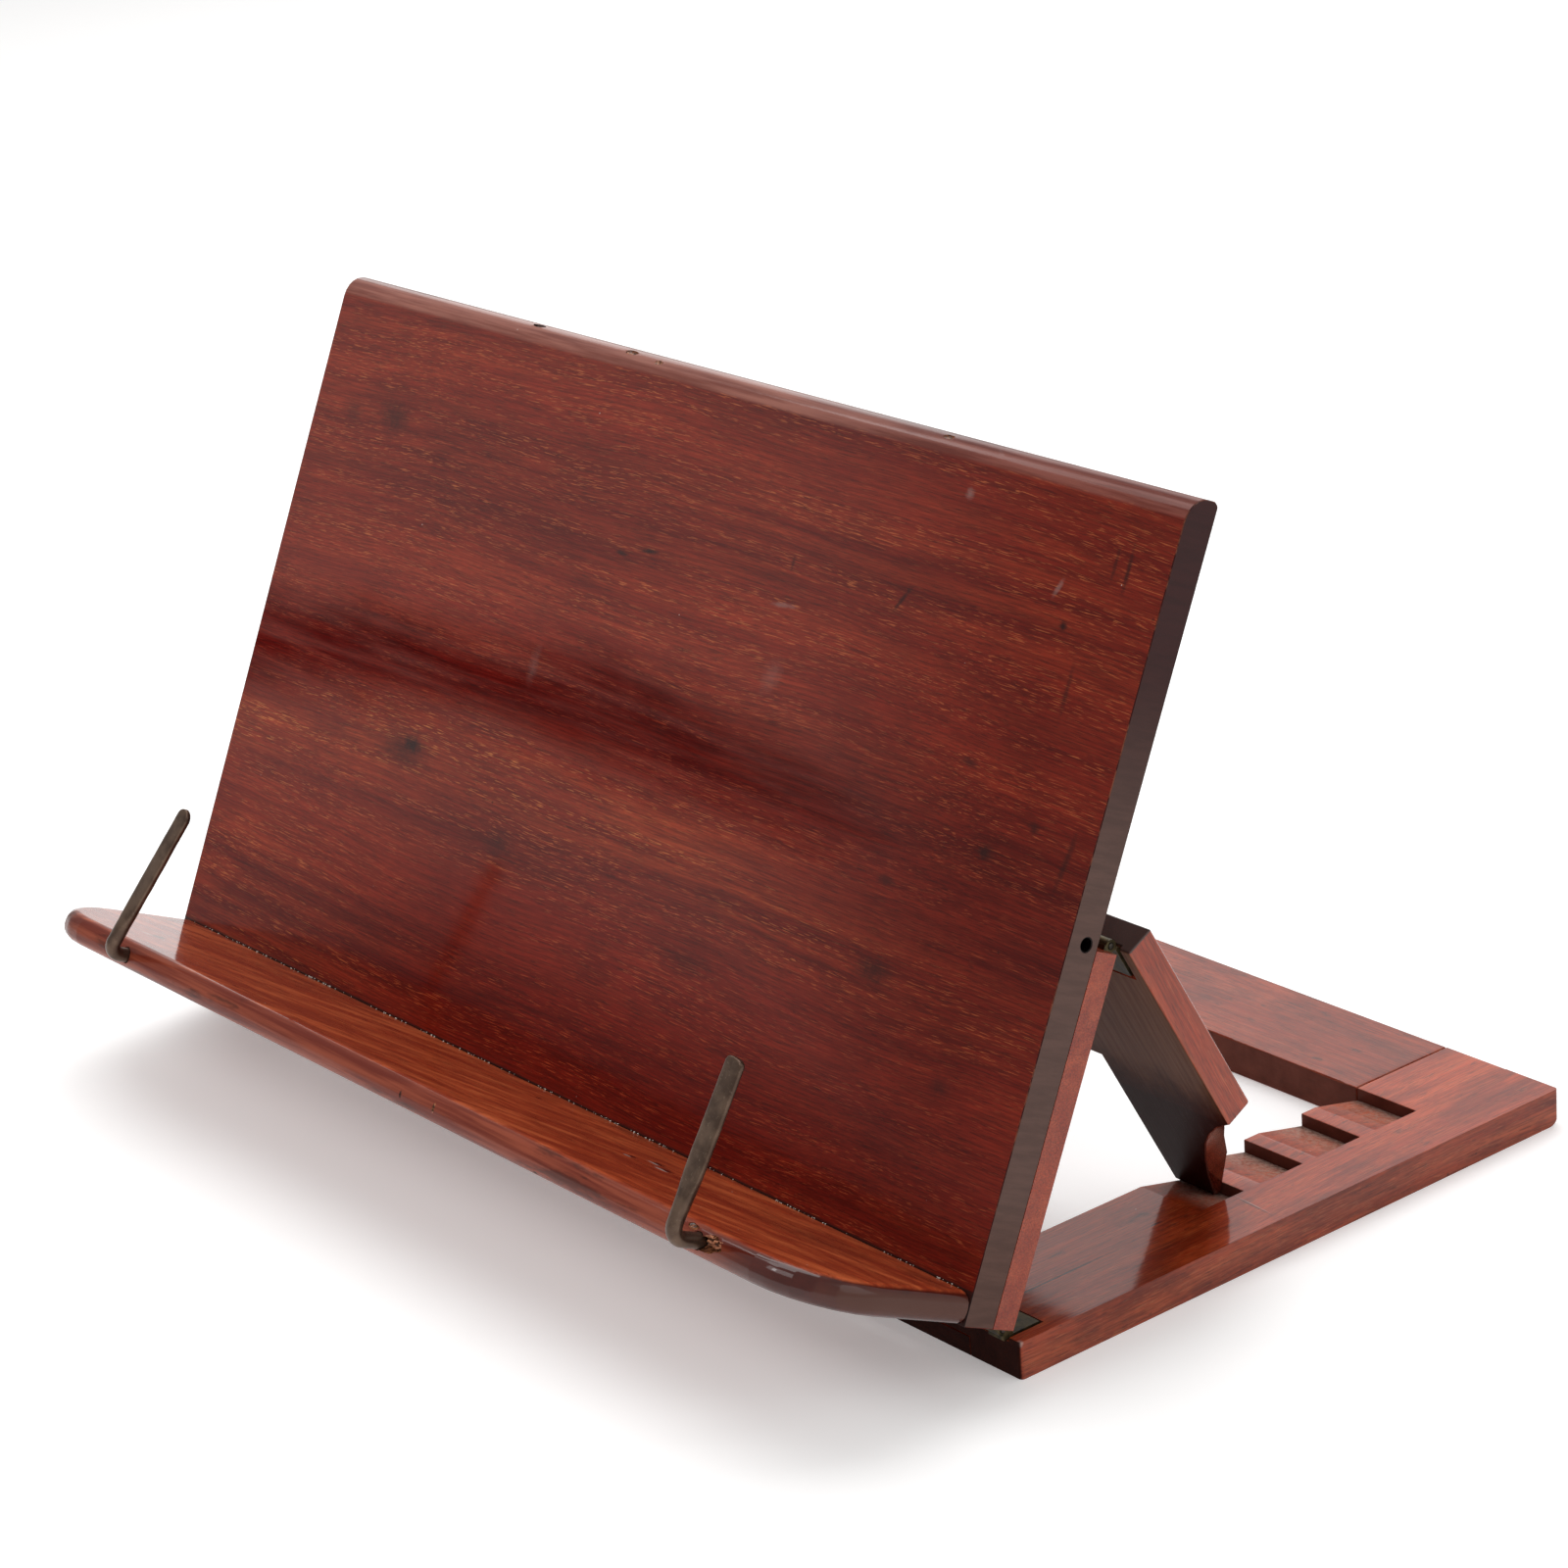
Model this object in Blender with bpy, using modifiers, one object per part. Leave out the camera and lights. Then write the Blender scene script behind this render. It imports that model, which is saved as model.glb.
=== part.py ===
# Folding table book stand in mahogany, opened on the first notch of its ratchet.
# A slope with a book ledge is hinged to the front of a flat base frame.
# A prop hinged behind the slope stands in notches cut in the base.
# Metres, +Z up, +X to the right as seen from the front, the front faces -Y.

import math

import bmesh
import bpy
from mathutils import Matrix, Vector

# Sizes shared by the whole stand
STAND_WIDTH = 0.457
FIT_GAP = 0.0003
CUT_OVERRUN = 0.004
MERGE_DISTANCE = 0.000001
ARC_STEPS = 6

# Base frame
BASE_DEPTH = 0.2533
BASE_THICK = 0.0134
SIDE_STRIP_WIDTH = 0.0243
RATCHET_STRIP_WIDTH = 0.0277
RAIL_WIDTH = 0.0461
FRONT_LAP_HEIGHT = 0.0066
REAR_LAP_HEIGHT = 0.0058
BASE_CORNER_RADIUS = 0.0015

# Ratchet notches
NOTCH_COUNT = 4
NOTCH_PITCH = 0.028
NOTCH_DEPTH = 0.0047
RIDGE_WIDTH = 0.007
NOTCH_IN_USE = 0

# Slope: board, back panel and ledge
SLOPE_TILT = math.radians(24.55)
BOARD_HEIGHT = 0.2666
BOARD_THICK = 0.0127
BOARD_FRONT_ROUND = 0.0078
BOARD_FRONT_ROUND_RISE = 0.0086
BOARD_BACK_ROUND = 0.002
BACK_PANEL_HEIGHT = 0.123
BACK_PANEL_THICK = 0.0092
LEDGE_THICK = 0.0107
LEDGE_DEPTH = 0.0668
LEDGE_CORNER_RADIUS = 0.030
LEDGE_EDGE_ROUND = 0.0046
LEDGE_EDGE_STEPS = 3
END_HOLE_RADIUS = 0.00235
END_HOLE_DEPTH = 0.018
END_HOLE_UP = 0.1245
END_HOLE_IN = 0.0077

# Ledge screws, driven through the board before the back panel goes on
LEDGE_SCREW_COUNT = 4
LEDGE_SCREW_END_INSET = 0.0785
LEDGE_SCREW_LENGTH = 0.034
LEDGE_SCREW_RADIUS = 0.0017
LEDGE_SCREW_HEAD_RADIUS = 0.0034
LEDGE_SCREW_HEAD_DEPTH = 0.002

# Prop
PROP_THICK = 0.011
PROP_CUTOUT_TOP = 0.0716
PROP_SHOULDER = 0.0842
PROP_LEG_INSIDE_CLEARANCE = 0.0009
FOOT_TO_WALL = 0.0044
LEG_TIP_INSET = 0.0342
LEG_CURVE_IN = 0.025
LEG_CURVE_DOWN = 0.0118

# Hinges: four alike, two at the base and two at the prop
HINGE_LENGTH = 0.038
HINGE_END_INSET = 0.006
HINGE_KNUCKLES = 5
BARREL_RADIUS = 0.0022
PIN_RADIUS = 0.001
LEAF_WIDTH = 0.0151
LEAF_THICK = 0.0014
WEB_TOP_SHARE = 0.3
MORTISE_SIDE_CLEARANCE = 0.0009
HINGE_SCREWS = 2
HINGE_SCREW_PITCH = 0.0205
HINGE_SCREW_OFFSET = 0.0088
HINGE_SCREW_LENGTH = 0.0082
HINGE_SCREW_RADIUS = 0.0012
HINGE_SCREW_HEAD_RADIUS = 0.0024
HINGE_SCREW_HEAD_DEPTH = 0.0012
SCREW_POINT_LENGTH = 0.0022
SCREW_SIDES = 12

# Pin places: how far each pin stands off the faces that its leaves lie on
BASE_PIN_ABOVE_BASE = 0.0029
BASE_PIN_AHEAD_OF_BASE = 0.0013
BASE_PIN_BEHIND_PANEL = 0.0019
BASE_PIN_BELOW_PANEL = 0.0016
PROP_PIN_BEHIND_PANEL = 0.0029
PROP_PIN_ABOVE_PANEL = 0.0015
PROP_PIN_AHEAD_OF_PROP = 0.001
PROP_PIN_ABOVE_PROP = 0.0021

# How deep each leaf is let into its wood
BASE_LEAF_LET_IN = 0.0014
BASE_PANEL_LEAF_LET_IN = 0.0011
PROP_PANEL_LEAF_LET_IN = 0.0
PROP_LEAF_LET_IN = 0.0014

# Page fingers
FINGER_ROD_RADIUS = 0.0027
FINGER_SHANK_IN_LEDGE = 0.024
FINGER_BEND_RADIUS = 0.0052
FINGER_BLADE_THICK = 0.0026
FINGER_FLATTEN_LENGTH = 0.016
FINGER_TIP_LENGTH = 0.0045
FINGER_SIDES = 16
# The two fingers were made and bent by hand, so their sizes differ a little
FINGERS = {
    "left": {
        "side": -1,
        "end_inset": 0.0641,
        "blade_width": 0.0068,
        "stand_off": 0.0074,
        "length": 0.0645,
        "back_lean": math.radians(1.5),
        "swivel": math.radians(-22.0),
    },
    "right": {
        "side": 1,
        "end_inset": 0.0561,
        "blade_width": 0.008,
        "stand_off": 0.0112,
        "length": 0.0608,
        "back_lean": math.radians(0.5),
        "swivel": math.radians(-7.6),
    },
}
SHANK_CLEARANCE = 0.0003

MATERIALS = {
    "mahogany_face": ((0.150, 0.035, 0.020), 0.30, 0.0),
    "mahogany_base": ((0.210, 0.062, 0.040), 0.38, 0.0),
    "aged_brass": ((0.110, 0.075, 0.038), 0.45, 1.0),
    "steel_screw": ((0.120, 0.110, 0.095), 0.45, 1.0),
    "dark_iron": ((0.085, 0.062, 0.048), 0.42, 1.0),
}


def clear_scene():
    for thing in list(bpy.data.objects):
        bpy.data.objects.remove(thing, do_unlink=True)


def new_collection(name):
    found = bpy.data.collections.new(name)
    bpy.context.scene.collection.children.link(found)
    return found


def finish(name, base):
    """One material for one piece, in the colour of its kind."""
    colour, roughness, metallic = MATERIALS[base]
    made = bpy.data.materials.new(f"{name}_{base}")
    made.use_nodes = True
    shader = made.node_tree.nodes["Principled BSDF"]
    shader.inputs["Base Color"].default_value = (*colour, 1.0)
    shader.inputs["Roughness"].default_value = roughness
    shader.inputs["Metallic"].default_value = metallic
    return made


def placed(origin, along_x, along_y):
    """A place in the world whose local axes point along the given directions."""
    x = Vector(along_x).normalized()
    y = Vector(along_y).normalized()
    z = x.cross(y)
    turn = Matrix((x, y, z)).transposed().to_4x4()
    return Matrix.Translation(Vector(origin)) @ turn


def add_piece(name, mesh, place, base):
    piece = bpy.data.objects.new(name, mesh)
    mesh.materials.append(finish(name, base))
    piece.matrix_world = place
    PARTS.objects.link(piece)
    return piece


def add_cutter(name, mesh, place):
    cutter = bpy.data.objects.new(name, mesh)
    cutter.matrix_world = place
    cutter.hide_render = True
    cutter.display_type = "WIRE"
    CUTTERS.objects.link(cutter)
    return cutter


def combine(piece, cutter, operation="DIFFERENCE"):
    step = piece.modifiers.new(f"{operation.lower()}_{cutter.name}", "BOOLEAN")
    step.operation = operation
    step.solver = "EXACT"
    step.object = cutter


def tidy_mesh(mesh):
    work = bmesh.new()
    work.from_mesh(mesh)
    bmesh.ops.remove_doubles(work, verts=work.verts, dist=MERGE_DISTANCE)
    bmesh.ops.recalc_face_normals(work, faces=work.faces)
    work.to_mesh(mesh)
    work.free()
    return mesh


def slab_mesh(name, outline, thick, edge_round=0.0, edge_steps=0):
    """A flat outline in local X and Y, thickened evenly about local Z = 0."""
    curve = bpy.data.curves.new(name, "CURVE")
    curve.dimensions = "2D"
    curve.fill_mode = "BOTH"
    curve.extrude = thick / 2 - edge_round
    curve.bevel_depth = edge_round
    curve.bevel_resolution = edge_steps
    curve.offset = -edge_round
    line = curve.splines.new("POLY")
    line.points.add(len(outline) - 1)
    for point, (x, y) in zip(line.points, outline):
        point.co = (x, y, 0.0, 1.0)
    line.use_cyclic_u = True
    holder = bpy.data.objects.new(name, curve)
    PARTS.objects.link(holder)
    bpy.context.view_layer.update()
    seen = holder.evaluated_get(bpy.context.evaluated_depsgraph_get())
    mesh = bpy.data.meshes.new_from_object(seen)
    mesh.name = name
    bpy.data.objects.remove(holder, do_unlink=True)
    bpy.data.curves.remove(curve)
    return tidy_mesh(mesh)


def box_mesh(name, boxes):
    """One or more boxes, each given by its low and its high corner."""
    work = bmesh.new()
    for low, high in boxes:
        low, high = Vector(low), Vector(high)
        size = Matrix.Diagonal((*(high - low), 1.0))
        bmesh.ops.create_cube(
            work, size=1.0, matrix=Matrix.Translation((low + high) / 2) @ size
        )
    mesh = bpy.data.meshes.new(name)
    work.to_mesh(mesh)
    work.free()
    return mesh


def rods_mesh(name, spans, radius, sides):
    """Round rods along local X, one for each span of X."""
    work = bmesh.new()
    lie_down = Matrix.Rotation(math.pi / 2, 4, "Y")
    for low, high in spans:
        bmesh.ops.create_cone(
            work,
            cap_ends=True,
            segments=sides,
            radius1=radius,
            radius2=radius,
            depth=high - low,
            matrix=Matrix.Translation(((low + high) / 2, 0.0, 0.0)) @ lie_down,
        )
    mesh = bpy.data.meshes.new(name)
    work.to_mesh(mesh)
    work.free()
    return mesh


def shade_round(piece):
    piece.data.shade_smooth()
    piece.data.set_sharp_from_angle(angle=math.radians(35.0))


def arc(centre, radius_x, radius_y, start, end, steps=ARC_STEPS):
    turns = (start + (end - start) * step / steps for step in range(steps + 1))
    return [
        (centre[0] + radius_x * math.cos(turn), centre[1] + radius_y * math.sin(turn))
        for turn in turns
    ]


# Places worked out from the sizes, first with the base's front edge at Y = 0
HALF_WIDTH = STAND_WIDTH / 2
SIDE_STRIP_INSIDE = HALF_WIDTH - SIDE_STRIP_WIDTH
STRIP_INSIDE = SIDE_STRIP_INSIDE - RATCHET_STRIP_WIDTH
REAR_RAIL_FRONT = BASE_DEPTH - RAIL_WIDTH
WALLS = [REAR_RAIL_FRONT - NOTCH_PITCH * back for back in reversed(range(NOTCH_COUNT))]
RAMP_LENGTH = NOTCH_PITCH - RIDGE_WIDTH

X_AXIS = Vector((1.0, 0.0, 0.0))
Y_AXIS = Vector((0.0, 1.0, 0.0))
Z_AXIS = Vector((0.0, 0.0, 1.0))
UP_SLOPE = Vector((0.0, math.sin(SLOPE_TILT), math.cos(SLOPE_TILT)))
THROUGH_SLOPE = Vector((0.0, math.cos(SLOPE_TILT), -math.sin(SLOPE_TILT)))

PANEL_BACK = BOARD_THICK + FIT_GAP + BACK_PANEL_THICK
BASE_PIN = Vector((0.0, -BASE_PIN_AHEAD_OF_BASE, BASE_THICK + BASE_PIN_ABOVE_BASE))
SLOPE_CORNER = (
    BASE_PIN
    - THROUGH_SLOPE * (PANEL_BACK + BASE_PIN_BEHIND_PANEL)
    + UP_SLOPE * BASE_PIN_BELOW_PANEL
)
PROP_PIN = (
    SLOPE_CORNER
    + THROUGH_SLOPE * (PANEL_BACK + PROP_PIN_BEHIND_PANEL)
    + UP_SLOPE * (BACK_PANEL_HEIGHT + PROP_PIN_ABOVE_PANEL)
)
# The prop leans so that a line from its pin meets the floor of the notch in use
NOTCH_FLOOR = BASE_THICK - NOTCH_DEPTH
PROP_LEAN = math.atan2(
    WALLS[NOTCH_IN_USE] - FOOT_TO_WALL - PROP_PIN.y, PROP_PIN.z - NOTCH_FLOOR
)
DOWN_PROP = Vector((0.0, math.sin(PROP_LEAN), -math.cos(PROP_LEAN)))
THROUGH_PROP = Vector((0.0, math.cos(PROP_LEAN), math.sin(PROP_LEAN)))
PROP_CORNER = (
    PROP_PIN + THROUGH_PROP * PROP_PIN_AHEAD_OF_PROP + DOWN_PROP * PROP_PIN_ABOVE_PROP
)
HINGE_X = HALF_WIDTH - HINGE_END_INSET - HINGE_LENGTH / 2


def finger_rings(finger):
    """Rings of points along a finger, from its buried end to its tip.

    Local X is across the blade, Y runs up the slope and Z points to the front,
    with the origin on the shank's axis at the ledge's front edge.
    """
    rod, bend = FINGER_ROD_RADIUS, FINGER_BEND_RADIUS
    half_thick = FINGER_BLADE_THICK / 2
    turn_all = math.pi / 2 + finger["back_lean"]
    straight = finger["length"] - bend
    bend_start = finger["stand_off"] - bend
    tip_start = straight - FINGER_TIP_LENGTH
    stations = [(-FINGER_SHANK_IN_LEDGE, 0.0, 0.0), (bend_start, 0.0, 0.0)]
    for step in range(1, ARC_STEPS + 1):
        turn = turn_all * step / ARC_STEPS
        out = bend_start + bend * math.sin(turn)
        stations.append((out, bend * (1.0 - math.cos(turn)), turn))
    out_end, up_end, _ = stations[-1]
    for step in range(1, ARC_STEPS + 1):
        run = FINGER_FLATTEN_LENGTH * step / ARC_STEPS
        stations.append((out_end, up_end, turn_all, run))
    tip_turns = [math.pi / 2 * step / ARC_STEPS for step in range(ARC_STEPS)]
    for turn in tip_turns:
        run = tip_start + FINGER_TIP_LENGTH * math.sin(turn)
        stations.append((out_end, up_end, turn_all, run, math.cos(turn)))

    rings = []
    for station in stations:
        out, up, turn = station[:3]
        run = station[3] if len(station) > 3 else 0.0
        narrow = station[4] if len(station) > 4 else 1.0
        flat = min(1.0, run / FINGER_FLATTEN_LENGTH)
        along = Vector((0.0, math.sin(turn), math.cos(turn)))
        middle = Vector((0.0, up, out)) + along * run
        across = X_AXIS
        thick_way = along.cross(across)
        wide = (rod + (finger["blade_width"] / 2 - rod) * flat) * narrow
        deep = (rod + (half_thick - rod) * flat) * (0.5 + 0.5 * narrow)
        power = 1.0 - 0.35 * flat
        ring = []
        for side in range(FINGER_SIDES):
            angle = math.tau * side / FINGER_SIDES
            c, s = math.cos(angle), math.sin(angle)
            x = math.copysign(abs(c) ** power, c) * wide
            y = math.copysign(abs(s) ** power, s) * deep
            ring.append(middle + across * x + thick_way * y)
        rings.append(ring)
    return rings


def finger_place(finger):
    """The finger's local frame: X across, Y up the slope, Z to the front."""
    origin = (
        SLOPE_CORNER
        + X_AXIS * (finger["side"] * (HALF_WIDTH - finger["end_inset"]))
        + UP_SLOPE * (LEDGE_THICK / 2)
        - THROUGH_SLOPE * LEDGE_DEPTH
    )
    return placed(origin, X_AXIS, UP_SLOPE) @ Matrix.Rotation(finger["swivel"], 4, "Z")


def frontmost():
    """The lowest Y that any piece reaches, which is on a finger's bend."""
    reached = [SLOPE_CORNER.y - LEDGE_DEPTH * THROUGH_SLOPE.y]
    for finger in FINGERS.values():
        place = finger_place(finger)
        reached += [(place @ point).y for ring in finger_rings(finger) for point in ring]
    return min(reached)


# The origin of the part is the middle of its footprint on the table
TO_ORIGIN = Matrix.Translation((0.0, -(frontmost() + BASE_DEPTH) / 2, 0.0))


def from_slope(x, up, through):
    return SLOPE_CORNER + X_AXIS * x + UP_SLOPE * up + THROUGH_SLOPE * through


def base_side_strips():
    """The outer strips, each with its outer corners rounded in plan."""
    radius = BASE_CORNER_RADIUS
    made = {}
    for side, word in ((-1, "left"), (1, "right")):
        inner, outer = SIDE_STRIP_INSIDE + FIT_GAP, HALF_WIDTH
        outline = [(inner, 0.0)]
        outline += arc((outer - radius, radius), radius, radius, -math.pi / 2, 0.0)
        outline += arc(
            (outer - radius, BASE_DEPTH - radius), radius, radius, 0.0, math.pi / 2
        )
        outline += [(inner, BASE_DEPTH)]
        outline = [(side * x, y) for x, y in outline]
        mesh = slab_mesh(f"side_strip_{word}", outline, BASE_THICK)
        place = TO_ORIGIN @ Matrix.Translation((0.0, 0.0, BASE_THICK / 2))
        made[word] = add_piece(
            f"base_side_strip_{word}", mesh, place, "mahogany_base"
        )
    return made


def ratchet_outline():
    """Side view of a ratchet strip, Y along the base and Z up."""
    front_top, rear_top = FRONT_LAP_HEIGHT + FIT_GAP, REAR_LAP_HEIGHT + FIT_GAP
    front_lap, rear_lap = RAIL_WIDTH + FIT_GAP, REAR_RAIL_FRONT - FIT_GAP
    points = [(0.0, front_top), (front_lap, front_top), (front_lap, 0.0)]
    points += [(rear_lap, 0.0), (rear_lap, rear_top), (BASE_DEPTH, rear_top)]
    points += [(BASE_DEPTH, BASE_THICK)]
    for wall in reversed(WALLS):
        points += [(wall, BASE_THICK), (wall, BASE_THICK - NOTCH_DEPTH)]
        points += [(wall - RAMP_LENGTH, BASE_THICK)]
    points += [(0.0, BASE_THICK)]
    return points


def base_ratchet_strips():
    width = RATCHET_STRIP_WIDTH
    made = {}
    for side, word in ((-1, "left"), (1, "right")):
        mesh = slab_mesh(f"ratchet_{word}", ratchet_outline(), width)
        middle = side * (SIDE_STRIP_INSIDE - width / 2)
        place = TO_ORIGIN @ placed((middle, 0.0, 0.0), Y_AXIS, Z_AXIS)
        made[word] = add_piece(
            f"base_ratchet_strip_{word}", mesh, place, "mahogany_base"
        )
    return made


def base_rails():
    """Front and rear rails, each with a thin tongue lapped under both strips."""
    body, tongue = STRIP_INSIDE - FIT_GAP, SIDE_STRIP_INSIDE
    made = {}
    rails = (("front", 0.0, FRONT_LAP_HEIGHT), ("rear", REAR_RAIL_FRONT, REAR_LAP_HEIGHT))
    for word, start, lap in rails:
        outline = [(-tongue, 0.0), (tongue, 0.0), (tongue, lap), (body, lap)]
        outline += [(body, BASE_THICK), (-body, BASE_THICK), (-body, lap)]
        outline += [(-tongue, lap)]
        mesh = slab_mesh(f"rail_{word}", outline, RAIL_WIDTH)
        middle = (0.0, start + RAIL_WIDTH / 2, 0.0)
        place = TO_ORIGIN @ placed(middle, X_AXIS, Z_AXIS)
        made[word] = add_piece(f"base_{word}_rail", mesh, place, "mahogany_base")
    return made


def slope_board():
    """The board, its top edge rounded more at the front than at the back."""
    rise, back = BOARD_FRONT_ROUND_RISE, BOARD_BACK_ROUND
    top = BOARD_HEIGHT
    outline = [(0.0, 0.0)]
    front_centre = (BOARD_FRONT_ROUND, top - rise)
    front_arc = arc(front_centre, BOARD_FRONT_ROUND, rise, math.pi, math.pi / 2)
    back_centre = (BOARD_THICK - back, top - back)
    outline += front_arc
    outline += arc(back_centre, back, back, math.pi / 2, 0.0, ARC_STEPS // 2)
    outline += [(BOARD_THICK, 0.0)]
    mesh = slab_mesh("board", outline, STAND_WIDTH)
    place = TO_ORIGIN @ placed(SLOPE_CORNER, THROUGH_SLOPE, UP_SLOPE)
    board = add_piece("slope_board", mesh, place, "mahogany_face")
    hole = rods_mesh("end_hole", [(0.0, END_HOLE_DEPTH + CUT_OVERRUN)],
                     END_HOLE_RADIUS, FINGER_SIDES)
    start = from_slope(HALF_WIDTH - END_HOLE_DEPTH, END_HOLE_UP, END_HOLE_IN)
    combine(board, add_cutter("end_hole", hole, TO_ORIGIN @ Matrix.Translation(start)))
    return board


def back_panel():
    start = BOARD_THICK + FIT_GAP
    low = (-HALF_WIDTH, 0.0, -start - BACK_PANEL_THICK)
    high = (HALF_WIDTH, BACK_PANEL_HEIGHT, -start)
    mesh = box_mesh("back_panel", [(low, high)])
    place = TO_ORIGIN @ placed(SLOPE_CORNER, X_AXIS, UP_SLOPE)
    return add_piece("slope_back_panel", mesh, place, "mahogany_base")


def book_ledge():
    """The ledge, rounded at its front corners and along its exposed edges."""
    half, deep, radius = HALF_WIDTH, LEDGE_DEPTH, LEDGE_CORNER_RADIUS
    spare = LEDGE_EDGE_ROUND + CUT_OVERRUN
    outline = [(half, -spare)]
    outline += arc((half - radius, deep - radius), radius, radius, 0.0, math.pi / 2)
    outline += [(-x, y) for x, y in reversed(outline)]
    mesh = slab_mesh(
        "ledge", outline, LEDGE_THICK, LEDGE_EDGE_ROUND, LEDGE_EDGE_STEPS
    )
    work = bmesh.new()
    work.from_mesh(mesh)
    everything = list(work.verts) + list(work.edges) + list(work.faces)
    cut = bmesh.ops.bisect_plane(
        work, geom=everything, plane_co=(0.0, FIT_GAP, 0.0), plane_no=(0.0, -1.0, 0.0),
        clear_outer=True,
    )
    rim = [part for part in cut["geom_cut"] if isinstance(part, bmesh.types.BMEdge)]
    bmesh.ops.edgeloop_fill(work, edges=rim)
    bmesh.ops.recalc_face_normals(work, faces=work.faces)
    work.to_mesh(mesh)
    work.free()
    middle = from_slope(0.0, LEDGE_THICK / 2, 0.0)
    place = TO_ORIGIN @ placed(middle, X_AXIS, -THROUGH_SLOPE)
    ledge = add_piece("book_ledge", mesh, place, "mahogany_face")
    shade_round(ledge)
    return ledge


def prop_outline():
    """Front view of the prop, X across and Y down from its top edge."""
    half = HALF_WIDTH
    inside = STRIP_INSIDE - PROP_LEG_INSIDE_CLEARANCE
    foot = (PROP_CORNER.z + PROP_THICK) / math.cos(PROP_LEAN)
    tip = (PROP_CORNER.z - NOTCH_FLOOR) / math.cos(PROP_LEAN)
    start = Vector((half, PROP_SHOULDER))
    handle = start + Vector((-LEG_CURVE_IN, LEG_CURVE_DOWN))
    end = Vector((half - LEG_TIP_INSET, tip))
    right = [(half, 0.0)]
    for step in range(ARC_STEPS + 1):
        t = step / ARC_STEPS
        point = start * (1 - t) ** 2 + handle * 2 * t * (1 - t) + end * t ** 2
        right.append((point.x, point.y))
    taper = (end - handle).normalized()
    below = end + taper * (foot - tip) / taper.y
    right += [(below.x, below.y), (inside, foot), (inside, PROP_CUTOUT_TOP)]
    return right + [(-x, y) for x, y in reversed(right)]


def prop():
    """The prop, its feet cut to stand on a notch's ramp against its wall."""
    mesh = slab_mesh("prop", prop_outline(), PROP_THICK)
    middle = PROP_CORNER + THROUGH_PROP * (PROP_THICK / 2)
    piece = add_piece(
        "prop", mesh, TO_ORIGIN @ placed(middle, X_AXIS, DOWN_PROP), "mahogany_base"
    )
    wall = WALLS[NOTCH_IN_USE]
    reach = NOTCH_PITCH
    low = (-HALF_WIDTH - CUT_OVERRUN, wall - FIT_GAP, -reach)
    high = (HALF_WIDTH + CUT_OVERRUN, wall + reach + reach, PROP_CORNER.z / 2)
    back = box_mesh("foot_back", [(low, high)])
    combine(piece, add_cutter("foot_back", back, TO_ORIGIN))
    slope = Vector((0.0, RAMP_LENGTH, -NOTCH_DEPTH)).normalized()
    ramp_top = Vector((0.0, wall - RAMP_LENGTH, BASE_THICK + FIT_GAP))
    low = (-HALF_WIDTH - CUT_OVERRUN, -reach, -reach)
    high = (HALF_WIDTH + CUT_OVERRUN, RAMP_LENGTH + reach, 0.0)
    below = box_mesh("foot_below", [(low, high)])
    place = TO_ORIGIN @ placed(ramp_top, X_AXIS, slope)
    combine(piece, add_cutter("foot_below", below, place))
    return piece


def screw_mesh(name, radius, head_radius, head_depth, length, clearance=0.0):
    """A countersunk screw pointing down local Z, its head's face at Z = 0.

    With a clearance it is the hole for that screw, open above the head.
    """
    point = SCREW_POINT_LENGTH
    top = CUT_OVERRUN if clearance else 0.0
    head, shank, end = head_radius + clearance, radius + clearance, length + clearance
    profile = [(0.0, top), (head, top)]
    if clearance:
        profile += [(head, 0.0)]
    profile += [(shank, -head_depth - clearance / 2)]
    profile += [(shank, -end + point), (0.0, -end)]
    work = bmesh.new()
    verts = [work.verts.new((x, 0.0, z)) for x, z in profile]
    for first, second in zip(verts, verts[1:]):
        work.edges.new((first, second))
    mesh = bpy.data.meshes.new(name)
    work.to_mesh(mesh)
    work.free()
    holder = bpy.data.objects.new(name, mesh)
    turned = holder.modifiers.new("turned", "SCREW")
    turned.axis = "Z"
    turned.steps = SCREW_SIDES
    turned.render_steps = SCREW_SIDES
    turned.use_merge_vertices = True
    turned.merge_threshold = MERGE_DISTANCE
    PARTS.objects.link(holder)
    bpy.context.view_layer.update()
    seen = holder.evaluated_get(bpy.context.evaluated_depsgraph_get())
    solid = bpy.data.meshes.new_from_object(seen)
    solid.name = name
    bpy.data.objects.remove(holder, do_unlink=True)
    bpy.data.meshes.remove(mesh)
    return tidy_mesh(solid)


def copies_mesh(name, mesh, spots):
    """One mesh that holds a copy of another at each of several spots."""
    work = bmesh.new()
    for spot in spots:
        start = len(work.verts)
        work.from_mesh(mesh)
        work.verts.ensure_lookup_table()
        moved = work.verts[start:]
        bmesh.ops.translate(work, vec=Vector(spot), verts=moved)
    joined = bpy.data.meshes.new(name)
    work.to_mesh(joined)
    work.free()
    return joined


def knuckle_spans(first):
    """The spans of X held by every other knuckle, from the first or the second."""
    long = HINGE_LENGTH / HINGE_KNUCKLES
    spans = []
    for index in range(first, HINGE_KNUCKLES, 2):
        low = -HINGE_LENGTH / 2 + index * long
        spans.append((low + FIT_GAP / 2, low + long - FIT_GAP / 2))
    return spans


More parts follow.
